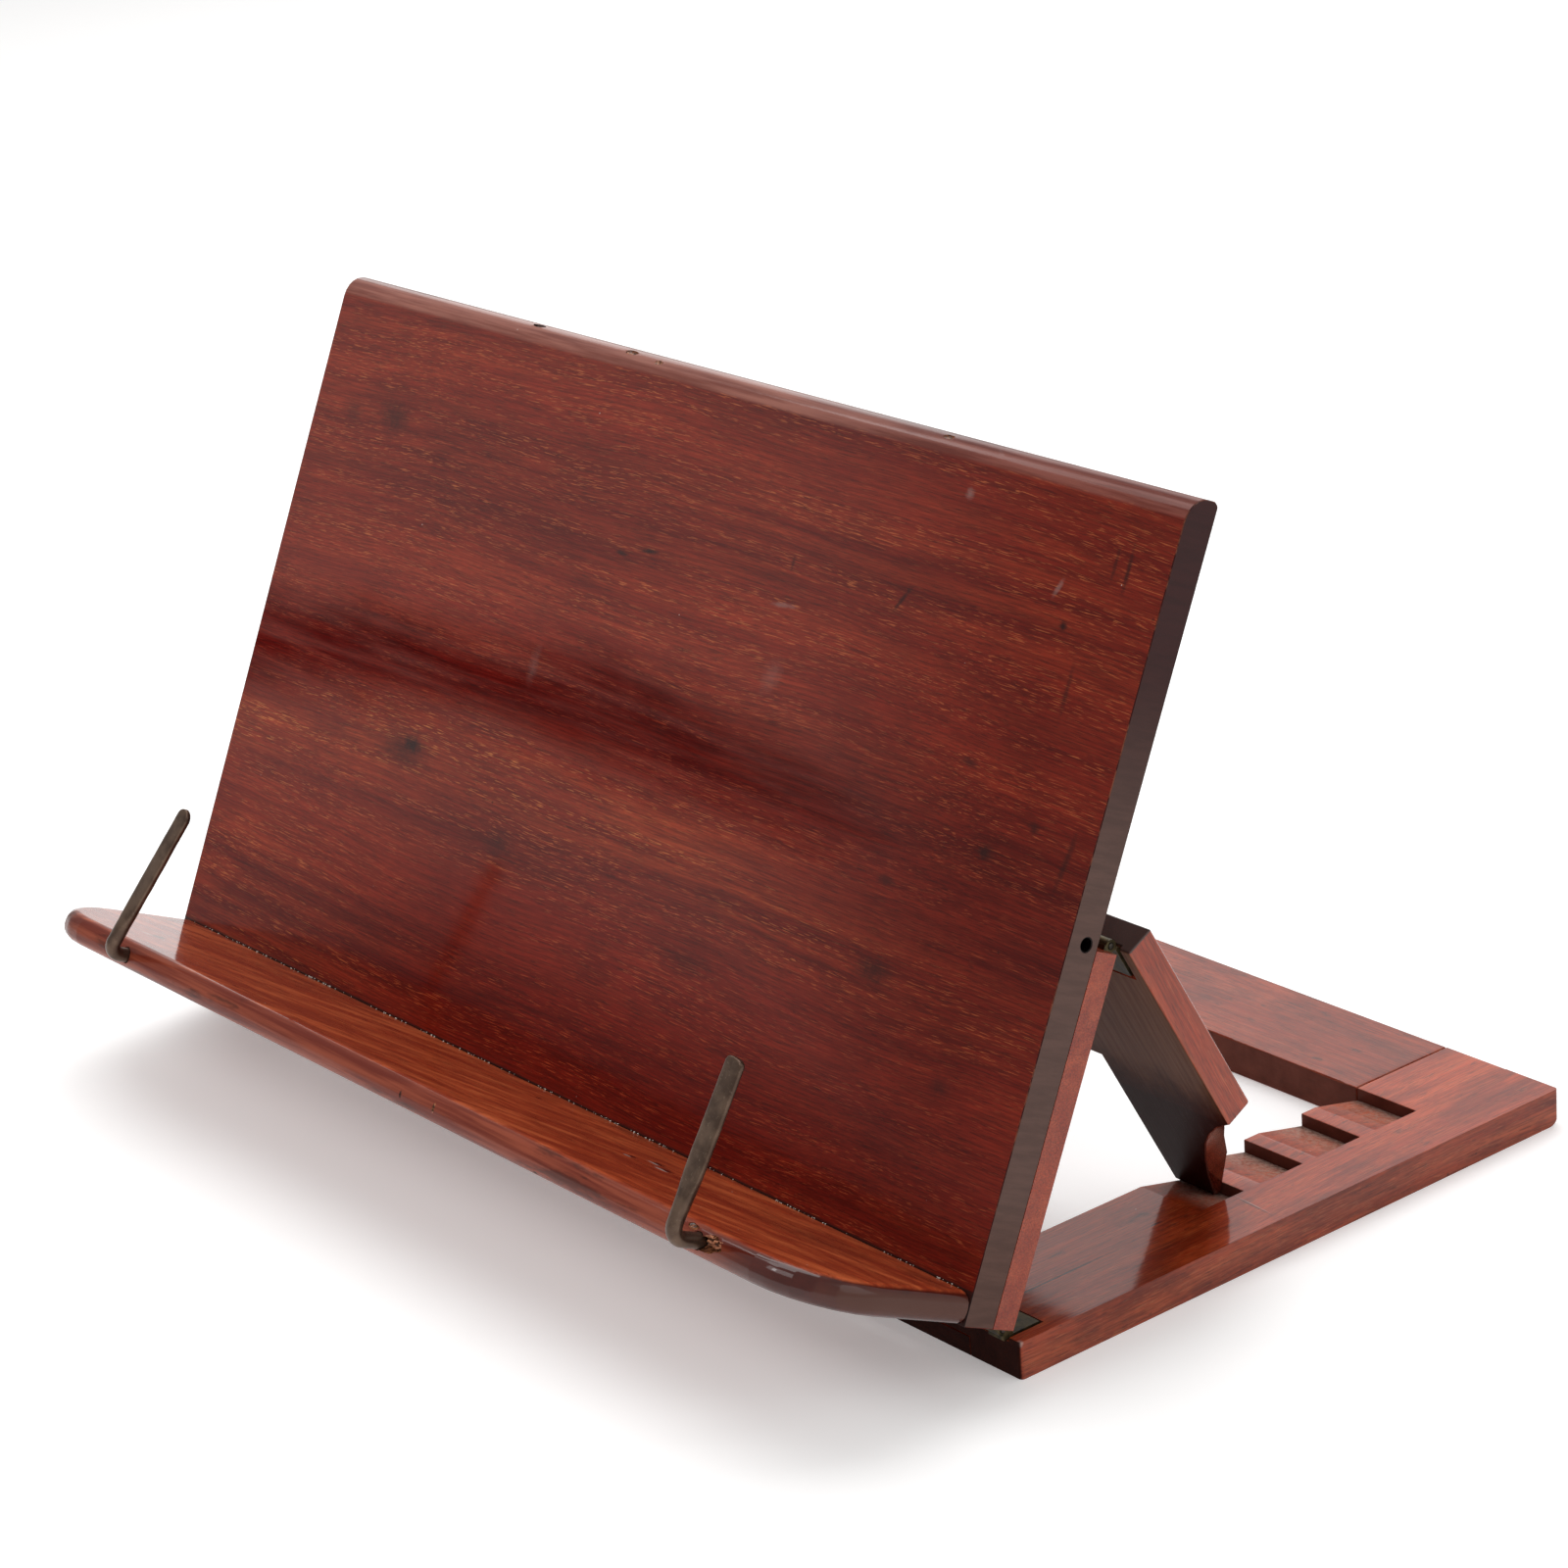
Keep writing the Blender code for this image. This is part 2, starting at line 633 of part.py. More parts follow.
def hinge_leaf(name, woods, place, off, let_in, first_knuckle):
    """A leaf, its screws, and the mortise and screw holes in its woods.

    In the leaf's frame X is the pin, Y points away from it over the wood and Z
    out of the wood, whose face lies at Z = -off.
    """
    bottom = -off - let_in + FIT_GAP
    top = bottom + LEAF_THICK
    half = HINGE_LENGTH / 2
    plate_start = BARREL_RADIUS + FIT_GAP
    plate = box_mesh(name, [((-half, plate_start, bottom), (half, LEAF_WIDTH, top))])
    leaf = add_piece(name, plate, place, "aged_brass")
    spans = knuckle_spans(first_knuckle)
    web_top = -BARREL_RADIUS * WEB_TOP_SHARE
    web_end = plate_start + LEAF_THICK
    web_height = max(web_top, top)
    webs = [((low, 0.0, bottom), (high, web_end, web_height)) for low, high in spans]
    combine(leaf, add_cutter(f"{name}_webs", box_mesh("webs", webs), place), "UNION")
    barrels = rods_mesh("barrels", spans, BARREL_RADIUS, FINGER_SIDES)
    combine(leaf, add_cutter(f"{name}_barrels", barrels, place), "UNION")
    bore_span = [(-half - CUT_OVERRUN, half + CUT_OVERRUN)]
    bore = rods_mesh("bore", bore_span, PIN_RADIUS + FIT_GAP, SCREW_SIDES)
    combine(leaf, add_cutter(f"{name}_bore", bore, place))

    spots = []
    for index in range(HINGE_SCREWS):
        middle = index - (HINGE_SCREWS - 1) / 2
        spots.append((middle * HINGE_SCREW_PITCH, HINGE_SCREW_OFFSET, top))
    sizes = (HINGE_SCREW_RADIUS, HINGE_SCREW_HEAD_RADIUS, HINGE_SCREW_HEAD_DEPTH,
             HINGE_SCREW_LENGTH)
    hole = screw_mesh("screw_hole", *sizes, clearance=FIT_GAP)
    holes = add_cutter(f"{name}_holes", copies_mesh("holes", hole, spots), place)
    combine(leaf, holes)
    if let_in:
        spare = MORTISE_SIDE_CLEARANCE
        low = (-half - spare, -LEAF_WIDTH, -off - let_in)
        high = (half + spare, LEAF_WIDTH + spare, CUT_OVERRUN)
        mesh = box_mesh("mortise", [(low, high)])
        mortise = add_cutter(f"{name}_mortise", mesh, place)
        for wood in woods:
            combine(wood, mortise)
    for wood in woods:
        combine(wood, holes)
    for number, spot in enumerate(spots, 1):
        screw = add_piece(
            f"{name}_screw_{number}", screw_mesh("screw", *sizes),
            place @ Matrix.Translation(spot), "steel_screw",
        )
        shade_round(screw)
    shade_round(leaf)


def hinges(side_strips, ratchet_strips, front_rail, panel, prop_piece):
    """Both pairs of hinges, with their pins."""
    for side, word in ((-1, "left"), (1, "right")):
        shift = X_AXIS * (side * HINGE_X)
        base_pin, prop_pin = BASE_PIN + shift, PROP_PIN + shift
        hinge_leaf(
            f"base_hinge_lower_leaf_{word}",
            [side_strips[word], ratchet_strips[word], front_rail],
            TO_ORIGIN @ placed(base_pin, X_AXIS, Y_AXIS),
            BASE_PIN_ABOVE_BASE, BASE_LEAF_LET_IN, 0,
        )
        hinge_leaf(
            f"base_hinge_upper_leaf_{word}", [panel],
            TO_ORIGIN @ placed(base_pin, -X_AXIS, UP_SLOPE),
            BASE_PIN_BEHIND_PANEL, BASE_PANEL_LEAF_LET_IN, 1,
        )
        hinge_leaf(
            f"prop_hinge_upper_leaf_{word}", [panel],
            TO_ORIGIN @ placed(prop_pin, X_AXIS, -UP_SLOPE),
            PROP_PIN_BEHIND_PANEL, PROP_PANEL_LEAF_LET_IN, 0,
        )
        hinge_leaf(
            f"prop_hinge_lower_leaf_{word}", [prop_piece],
            TO_ORIGIN @ placed(prop_pin, -X_AXIS, DOWN_PROP),
            PROP_PIN_AHEAD_OF_PROP, PROP_LEAF_LET_IN, 1,
        )
        for kind, at in (("base", base_pin), ("prop", prop_pin)):
            span = [(-HINGE_LENGTH / 2, HINGE_LENGTH / 2)]
            mesh = rods_mesh("pin", span, PIN_RADIUS, SCREW_SIDES)
            pin = add_piece(
                f"{kind}_hinge_pin_{word}", mesh,
                TO_ORIGIN @ Matrix.Translation(at), "steel_screw",
            )
            shade_round(pin)


def ledge_screws(board, ledge):
    """Screws through the board into the ledge, their heads under the back panel."""
    sizes = (LEDGE_SCREW_RADIUS, LEDGE_SCREW_HEAD_RADIUS, LEDGE_SCREW_HEAD_DEPTH,
             LEDGE_SCREW_LENGTH)
    hole = screw_mesh("ledge_screw_hole", *sizes, clearance=FIT_GAP)
    first = HALF_WIDTH - LEDGE_SCREW_END_INSET
    for index in range(LEDGE_SCREW_COUNT):
        x = first * (2 * index / (LEDGE_SCREW_COUNT - 1) - 1)
        at = from_slope(x, LEDGE_THICK / 2, BOARD_THICK)
        place = TO_ORIGIN @ placed(at, -X_AXIS, UP_SLOPE)
        cutter = add_cutter(f"ledge_screw_hole_{index + 1}", hole, place)
        combine(board, cutter)
        combine(ledge, cutter)
        screw = add_piece(
            f"ledge_screw_{index + 1}", screw_mesh("ledge_screw", *sizes),
            place, "steel_screw",
        )
        shade_round(screw)


def page_fingers(ledge):
    """Two wrought fingers that swivel in holes bored in the ledge's front edge."""
    for word, finger in FINGERS.items():
        place = TO_ORIGIN @ finger_place(finger)
        work = bmesh.new()
        rings = [
            [work.verts.new(point) for point in ring] for ring in finger_rings(finger)
        ]
        for low, high in zip(rings, rings[1:]):
            for side in range(FINGER_SIDES):
                after = (side + 1) % FINGER_SIDES
                work.faces.new((low[side], low[after], high[after], high[side]))
        work.faces.new(rings[0])
        work.faces.new(rings[-1])
        bmesh.ops.recalc_face_normals(work, faces=work.faces)
        mesh = bpy.data.meshes.new(f"finger_{word}")
        work.to_mesh(mesh)
        work.free()
        piece = add_piece(f"page_finger_{word}", mesh, place, "dark_iron")
        shade_round(piece)
        deep = FINGER_SHANK_IN_LEDGE + SHANK_CLEARANCE
        bore = rods_mesh("shank_bore", [(-CUT_OVERRUN, deep)],
                         FINGER_ROD_RADIUS + SHANK_CLEARANCE, FINGER_SIDES)
        turn = place @ Matrix.Rotation(math.pi / 2, 4, "Y")
        combine(ledge, add_cutter(f"shank_bore_{word}", bore, turn))


clear_scene()
PARTS = new_collection("folding_book_stand")
CUTTERS = new_collection("cutters")
SIDE_STRIPS = base_side_strips()
RATCHET_STRIPS = base_ratchet_strips()
RAILS = base_rails()
BOARD = slope_board()
PANEL = back_panel()
LEDGE = book_ledge()
PROP = prop()
hinges(SIDE_STRIPS, RATCHET_STRIPS, RAILS["front"], PANEL, PROP)
ledge_screws(BOARD, LEDGE)
page_fingers(LEDGE)
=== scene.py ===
import math

import bmesh
import bpy
from mathutils import Matrix, Vector, noise


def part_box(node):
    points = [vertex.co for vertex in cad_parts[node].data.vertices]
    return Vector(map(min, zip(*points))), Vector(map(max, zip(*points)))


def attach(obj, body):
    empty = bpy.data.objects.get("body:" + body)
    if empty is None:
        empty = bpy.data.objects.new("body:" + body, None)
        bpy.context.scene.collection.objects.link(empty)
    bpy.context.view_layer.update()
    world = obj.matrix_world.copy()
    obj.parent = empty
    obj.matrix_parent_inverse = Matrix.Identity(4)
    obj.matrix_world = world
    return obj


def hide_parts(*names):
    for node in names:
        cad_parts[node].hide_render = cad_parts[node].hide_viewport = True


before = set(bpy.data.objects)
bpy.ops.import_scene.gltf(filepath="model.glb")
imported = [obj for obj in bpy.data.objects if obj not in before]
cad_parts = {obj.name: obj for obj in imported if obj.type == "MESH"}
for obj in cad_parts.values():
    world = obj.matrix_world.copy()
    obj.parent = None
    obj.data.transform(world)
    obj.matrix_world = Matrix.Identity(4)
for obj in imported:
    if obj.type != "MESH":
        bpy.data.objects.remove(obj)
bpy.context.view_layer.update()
print("frame loaded")

mm = 0.001

# Measures that several pieces share
stand = {
    "width": 457.0 * mm,
    "baseThick": 13.4 * mm,
    "baseFront": -80.5 * mm,
    "boardThick": 12.7 * mm,
    "ledgeThick": 10.7 * mm,
    "ledgeDepth": 66.8 * mm,
    "slopeTilt": math.radians(24.55),
    "propLean": math.radians(28.72),
    "propThick": 11.0 * mm,
}
# How the meshes are cleaned, cut across and shaded
meshing = {"weld": 0.004 * mm, "flat": math.radians(0.6), "onPlane": 1e-7,
           "arris": math.radians(28), "crease": math.radians(40)}

halfWidth = stand["width"] / 2
slopeSin, slopeCos = math.sin(stand["slopeTilt"]), math.cos(stand["slopeTilt"])
leanSin, leanCos = math.sin(stand["propLean"]), math.cos(stand["propLean"])
xAxis, yAxis, zAxis = Vector((1, 0, 0)), Vector((0, 1, 0)), Vector((0, 0, 1))
upSlope, throughSlope = Vector((0, slopeSin, slopeCos)), Vector((0, slopeCos, -slopeSin))
downProp, throughProp = Vector((0, leanSin, -leanCos)), Vector((0, leanCos, leanSin))

boardLow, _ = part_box("slope_board")
# The board's lower front edge, where the ledge meets it
slopeCorner = Vector((0, boardLow.y, boardLow.z + stand["boardThick"] * slopeSin))
propLow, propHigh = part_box("prop")
# The prop's upper front edge
propCorner = Vector((0, propLow.y, propHigh.z - stand["propThick"] * leanSin))


def onSlope(x, up, through):
    return slopeCorner + xAxis * x + upSlope * up + throughSlope * through


class Nodes:
    # Short ways to add nodes to one tree
    def __init__(self, tree):
        self.tree = tree

    def fill(self, node, inputs):
        # A list links several sockets to one input
        for key, value in dict(inputs).items():
            for part in value if isinstance(value, list) else [value]:
                if isinstance(part, bpy.types.NodeSocket):
                    self.tree.links.new(part, node.inputs[key])
                elif node.inputs[key].type == "RGBA" and len(part) == 3:
                    node.inputs[key].default_value = (*part, 1.0)
                else:
                    node.inputs[key].default_value = part

    def add(self, kind, inputs=(), **settings):
        node = self.tree.nodes.new(kind)
        for key, value in settings.items():
            setattr(node, key, value)
        self.fill(node, inputs)
        return node

    def made(self, kind, inputs=(), **settings):
        return self.add(kind, inputs, **settings).outputs[0]

    def math(self, operation, *values):
        return self.made("ShaderNodeMath", dict(enumerate(values)), operation=operation)

    def chain(self, operation, first, *others):
        for other in others:
            first = self.math(operation, first, other)
        return first

    def times(self, *values):
        return self.chain("MULTIPLY", *values)

    def plus(self, *values):
        return self.chain("ADD", *values)

    def minus(self, *values):
        return self.chain("SUBTRACT", *values)

    def highest(self, *values):
        return self.chain("MAXIMUM", *values)

    def timesPlus(self, value, factor, rest):
        return self.math("MULTIPLY_ADD", value, factor, rest)

    def vector(self, operation, *values):
        node = self.add("ShaderNodeVectorMath", dict(enumerate(values)),
                        operation=operation)
        isNumber = operation in ("DOT_PRODUCT", "LENGTH", "DISTANCE")
        return node.outputs["Value" if isNumber else "Vector"]

    def split(self, vector):
        return self.add("ShaderNodeSeparateXYZ", {0: vector}).outputs

    def xyz(self, x=0.0, y=0.0, z=0.0):
        return self.made("ShaderNodeCombineXYZ", {0: x, 1: y, 2: z})


class Finish(Nodes):
    # A material under way: its shader, the place on the piece and the colour so far
    def __init__(self, name, turn=(0, 0, 0), shift=(0, 0, 0)):
        self.material = bpy.data.materials.new(name)
        self.material.use_nodes = True
        super().__init__(self.material.node_tree)
        self.shader = self.tree.nodes["Principled BSDF"]
        coordinates = self.add("ShaderNodeTexCoord").outputs
        self.object, self.normal = coordinates["Object"], coordinates["Normal"]
        self.place = self.made("ShaderNodeMapping", {
            "Vector": self.object, "Rotation": turn, "Location": shift})
        self.colour = self.cloud = None

    def attribute(self, name):
        return self.add("ShaderNodeAttribute", attribute_name=name).outputs["Fac"]

    def scaled(self, vector, scale, shift=(0, 0, 0)):
        return self.made("ShaderNodeMapping", {
            "Vector": vector, "Scale": scale, "Location": shift})

    def noise(self, scale, detail=2.0, rough=0.5, place=None, shift=(0, 0, 0),
              output="Fac"):
        # The scale is one number, or a frequency for each axis
        place = self.place if place is None else place
        if isinstance(scale, tuple):
            place, scale = self.scaled(place, scale, shift), 1.0
        return self.add("ShaderNodeTexNoise", {
            "Vector": place, "Scale": scale, "Detail": detail, "Roughness": rough,
        }).outputs[output]

    def cells(self, scale, place):
        return self.add("ShaderNodeTexVoronoi", {"Vector": place, "Scale": scale}).outputs

    def remap(self, value, low, high, newLow=0.0, newHigh=1.0):
        return self.made("ShaderNodeMapRange", {
            "Value": value, "From Min": low, "From Max": high,
            "To Min": newLow, "To Max": newHigh}, interpolation_type="SMOOTHSTEP")

    def facing(self, direction, low, high, newLow=0.0, newHigh=1.0):
        # How squarely the surface faces a direction, through a soft step
        share = self.vector("DOT_PRODUCT", self.normal, direction)
        return self.remap(share, low, high, newLow, newHigh)

    def mix(self, share, first, second, blend="MIX"):
        return self.add("ShaderNodeMix", {0: share, 6: first, 7: second},
                        data_type="RGBA", blend_type=blend, clamp_factor=True).outputs[2]

    def cover(self, share, colour):
        self.colour = self.mix(share, self.colour, colour)

    def tint(self, share, colour):
        self.colour = self.mix(share, self.colour, colour, "MULTIPLY")

    def bump(self, strength, distance, height):
        return self.made("ShaderNodeBump", {
            "Strength": strength, "Distance": distance, "Height": height})

    def done(self, inputs):
        self.fill(self.shader, {"Base Color": self.colour, **inputs})
        return self.material


# The camera that took the photograph, fitted to the edges seen in it
cameraPlace = {
    "eye": (1.16067, -0.886987, 0.67474),
    "right": (0.6349301, 0.7695069, -0.0687234),
    "up": (-0.2338543, 0.2762106, 0.9322124),
    "lens": 101.21,
    "sensor": 36.0,
    "near": 0.01,
    "far": 50.0,
}


def addCamera():
    data = bpy.data.cameras.new("photo_camera")
    data.sensor_width, data.lens = cameraPlace["sensor"], cameraPlace["lens"]
    data.clip_start, data.clip_end = cameraPlace["near"], cameraPlace["far"]
    camera = bpy.data.objects.new("photo_camera", data)
    right, up = Vector(cameraPlace["right"]), Vector(cameraPlace["up"])
    turn = Matrix((right, up, right.cross(up))).transposed().to_4x4()
    camera.matrix_world = Matrix.Translation(cameraPlace["eye"]) @ turn
    bpy.context.scene.collection.objects.link(camera)
    bpy.context.scene.camera = camera


studio = {
    "world": (1.0, 0.985, 0.97, 1.0), "worldStrength": 0.50,
    "floor": (0.90, 0.90, 0.90), "floorMottle": 0.985, "floorRough": 0.6,
    "floorGlow": 0.26, "floorSize": 7.0, "aim": (0, 0.03, 0.1),
    # Azimuth, height angle and distance from the aim; width, height and power
    "softboxes": {
        "overhead": (150, 72, 1.9, 1.9, 1.5, 23.0),
        "behind": (128, 24, 2.4, 2.2, 1.0, 8.0),
        "right": (20, 28, 2.0, 1.4, 1.2, 6.5),
        "front": (262, 48, 2.4, 1.2, 0.9, 6.5),
        "glint": (264, 46, 2.4, 0.36, 0.5, 3.2),
    },
}


def addSoftbox(name, azimuth, rise, away, wide, tall, power):
    data = bpy.data.lights.new(name, "AREA")
    data.shape = "RECTANGLE"
    data.size, data.size_y, data.energy = wide, tall, power
    light = bpy.data.objects.new(name, data)
    azimuth, rise = math.radians(azimuth), math.radians(rise)
    outwards = Vector((math.cos(azimuth) * math.cos(rise),
                       math.sin(azimuth) * math.cos(rise), math.sin(rise)))
    light.location = Vector(studio["aim"]) + outwards * away
    light.rotation_euler = (-outwards).to_track_quat("-Z", "Y").to_euler()
    bpy.context.scene.collection.objects.link(light)


def addStudio():
    world = bpy.data.worlds.new("studio_world")
    world.use_nodes = True
    back = world.node_tree.nodes["Background"]
    back.inputs["Color"].default_value = studio["world"]
    back.inputs["Strength"].default_value = studio["worldStrength"]
    bpy.context.scene.world = world
    bpy.context.scene.view_settings.view_transform = "Standard"
    for name, box in studio["softboxes"].items():
        addSoftbox(f"softbox_{name}", *box)
    paper = Finish("studio_paper")
    paper.colour = paper.mix(paper.noise(3.0), studio["floor"], tuple(
        part * studio["floorMottle"] for part in studio["floor"]))
    work = bmesh.new()
    bmesh.ops.create_grid(work, x_segments=8, y_segments=8, size=studio["floorSize"])
    floor = pieceOf("studio_floor", work, paper.done({
        "Roughness": studio["floorRough"], "Emission Color": (1.0, 1.0, 1.0),
        "Emission Strength": studio["floorGlow"]}))


# Polished wood. Colours are linear, and frequencies are per metre, along and across the
# grain. Shares say how strongly a layer shows.
boardWood = {
    "deep": (0.088, 0.0052, 0.0028), "middle": (0.178, 0.0150, 0.0060),
    "light": (0.265, 0.0330, 0.0115), "pore": (0.46, 0.125, 0.040),
    "dark": (0.026, 0.005, 0.004), "worn": (0.30, 0.095, 0.050),
    "fleck": (0.72, 0.66, 0.60), "scratch": (0.42, 0.36, 0.33),
    "rawWood": ((0.055, 0.018, 0.010), (0.48, 0.18, 0.08)),
    "oldChip": ((0.020, 0.010, 0.008), (0.075, 0.050, 0.040)),
    "figure": (2.4, 26.0), "bands": (6.0, 190.0), "fibres": (40.0, 1500.0),
    "pores": (150.0, 3200.0), "sway": 0.014, "seed": 3.0,
    "bandShare": 0.55, "cloudShare": 0.45, "darkPoreShare": 0.48, "poreShare": 0.62,
    "rubShare": 0.55, "grimeShare": 0.8, "fleckShare": 0.55,
    "rough": 0.34, "specular": 0.02, "coat": 0.86, "coatRough": 0.12, "coatIor": 1.5,
}
baseWood = dict(boardWood, middle=(0.315, 0.0420, 0.0120), light=(0.400, 0.075, 0.026),
                pore=(0.50, 0.150, 0.060), deep=(0.185, 0.0200, 0.0085),
                worn=(0.30, 0.085, 0.045), dust=(0.40, 0.27, 0.22), poreShare=0.35,
                figure=(2.0, 34.0), coat=0.60, coatRough=0.10, seed=11.0)
ledgeWood = dict(boardWood, middle=(0.330, 0.050, 0.015), light=(0.430, 0.090, 0.030),
                 deep=(0.190, 0.022, 0.008), pore=(0.60, 0.20, 0.07),
                 worn=(0.45, 0.17, 0.08), figure=(5.0, 46.0), poreShare=0.30,
                 coatRough=0.09, seed=23.0)
railWood = dict(baseWood, seed=29.0)
propWood = dict(baseWood, figure=(3.0, 30.0), seed=37.0, coat=0.85)
panelWood = dict(baseWood, seed=51.0, coat=0.8)

# Marks that the years left, in mm: x, y, length, height, strength, softness, and where
# needed the turn in degrees, z and depth. The board's start at its lower middle.
far = 1e6
markEnd = (0, 0, far)
boardMarks = {
    "dark": [
        (-117, 106, 9, 4.5, 1.00, 0.1), (-121, 104, 16, 8, 0.62, 0.0),
        (-177, 219, 11, 7, 0.69, 0.0), (-204, 217, 7, 5, 0.50, 0.0),
        (183, 141.5, 4, 2.6, 1.00, 0.1), (166, 167, 4.5, 1.8, 0.69, 0.1),
        (201, 154, 3.2, 2.2, 0.75, 0.1), (143, 122, 5, 2.4, 0.69, 0.1),
        (148, 93, 11, 5, 0.81, 0.0), (191, 67, 6, 4, 0.62, 0.0),
        (190, 217, 2.0, 1.6, 1.00, 0.2), (211, 239, 1.2, 9, 0.81, 0.1),
        (205, 240, 1.0, 7, 0.62, 0.1), (218, 147, 1.6, 12, 0.62, 0.1, 8),
        (199, 198, 1.3, 10, 0.56, 0.1), (116, 210, 1.1, 6.5, 0.88, 0.1, 32),
        (-28, 196.5, 4.2, 0.9, 0.94, 0.2), (-14, 200, 5.5, 0.9, 1.00, 0.2, -8),
        (60, 211, 1.0, 3.0, 0.62, 0.1), (-54, 84, 10, 7, 0.56, 0.0),
        (60, 72, 17, 5, 0.44, 0.0),
    ],
    "pale": [
        (61, 196.5, 6.5, 1.0, 0.17, 0.2, -6), (134, 249, 2.2, 2.0, 0.20, 0.2),
        (183.6, 228, 1.2, 3.6, 0.17, 0.2, 25), (-60, 149, 3, 8, 0.07, 0.0),
        (64, 172.5, 5, 7, 0.08, 0.0, 30),
    ],
}
# The ledge's lie across its top, so that y and height run forwards from the board:
# dents with pale rims, dark spots and a dirty left end
ledgeMarks = {
    "acrossTop": True,
    "dark": [
        (-180, 43, 4.5, 3.5, 0.75, 0.1), (-218, 12, 7, 9, 0.6, 0.0),
        (-222, 30, 5, 12, 0.35, 0.0), (99, 24, 3.0, 2.2, 0.85, 0.3),
        (107, 27, 3.6, 1.9, 0.85, 0.3), (116, 24, 2.4, 2.6, 0.85, 0.3),
        (123, 29, 3.3, 1.9, 0.8, 0.3), (92, 30, 2.2, 1.8, 0.8, 0.3),
        (20, 14, 1.8, 1.3, 0.6, 0.3), (178, 20, 30, 11, 0.35, 0.0),
        (214, 8, 14, 8, 0.45, 0.0), (60, 4, 40, 4, 0.35, 0.0),
    ],
    "pale": [
        (98.2, 25.6, 3.0, 0.8, 0.8, 0.3), (106, 28.6, 3.6, 0.8, 0.8, 0.3),
        (115, 25.8, 2.2, 0.8, 0.7, 0.3), (122, 30.6, 3.0, 0.8, 0.7, 0.3),
        (91, 31.3, 2.1, 0.6, 0.7, 0.3), (-184, 46, 3.0, 1.3, 0.4, 0.3),
    ],
}
# The base's are on its right strip, whose length runs along x here
stripMarks = {
    "dark": [
        (-46, -204.35, 34, 0.55, 0.9, 0.4), (37, -214, 0.45, 9.5, 0.75, 0.3, 4),
        (-30, -210, 7, 0.7, 0.4, 0.1), (120, -222, 5, 0.6, 0.4, 0.1),
        (60, -226, 4, 0.8, 0.45, 0.1), (166, -206, 3, 2.2, 0.3, 0.0),
    ],
    "pale": [
        (37.6, -214, 0.30, 8.5, 0.35, 0.3, 4),
        (-80.0, -228.0, 1.0, 1.2, 0.5, 0.2, 0, 12.8, 1.4),
    ],
}


def spotMask(wood, spot, acrossTop, rag):
    # One mark: an oval with a ragged soft rim
    x, y, long, high, strength, soft, turn, z, deep = (*spot, *markEnd[len(spot) - 6:])
    centre, size = Vector((x, y, z)) * mm, Vector((long, high, deep)) * mm
    if acrossTop:
        centre.yz, size.yz = centre.zy, size.zy
    place = wood.vector("SUBTRACT", wood.place, centre)
    if turn:
        place = wood.made("ShaderNodeMapping", {
            "Vector": place, "Rotation": (0, 0, math.radians(turn))})
    reach = wood.vector("LENGTH", wood.scaled(place, tuple(1 / part for part in size)))
    ragged = wood.timesPlus(rag, 0.8, wood.timesPlus(reach, 0.75, -0.35))
    return wood.remap(ragged, soft, 1.0, strength, 0.0)


def spots(wood, marks, kind, rag):
    return wood.highest(*(spotMask(wood, spot, "acrossTop" in marks, rag)
                          for spot in marks[kind]))


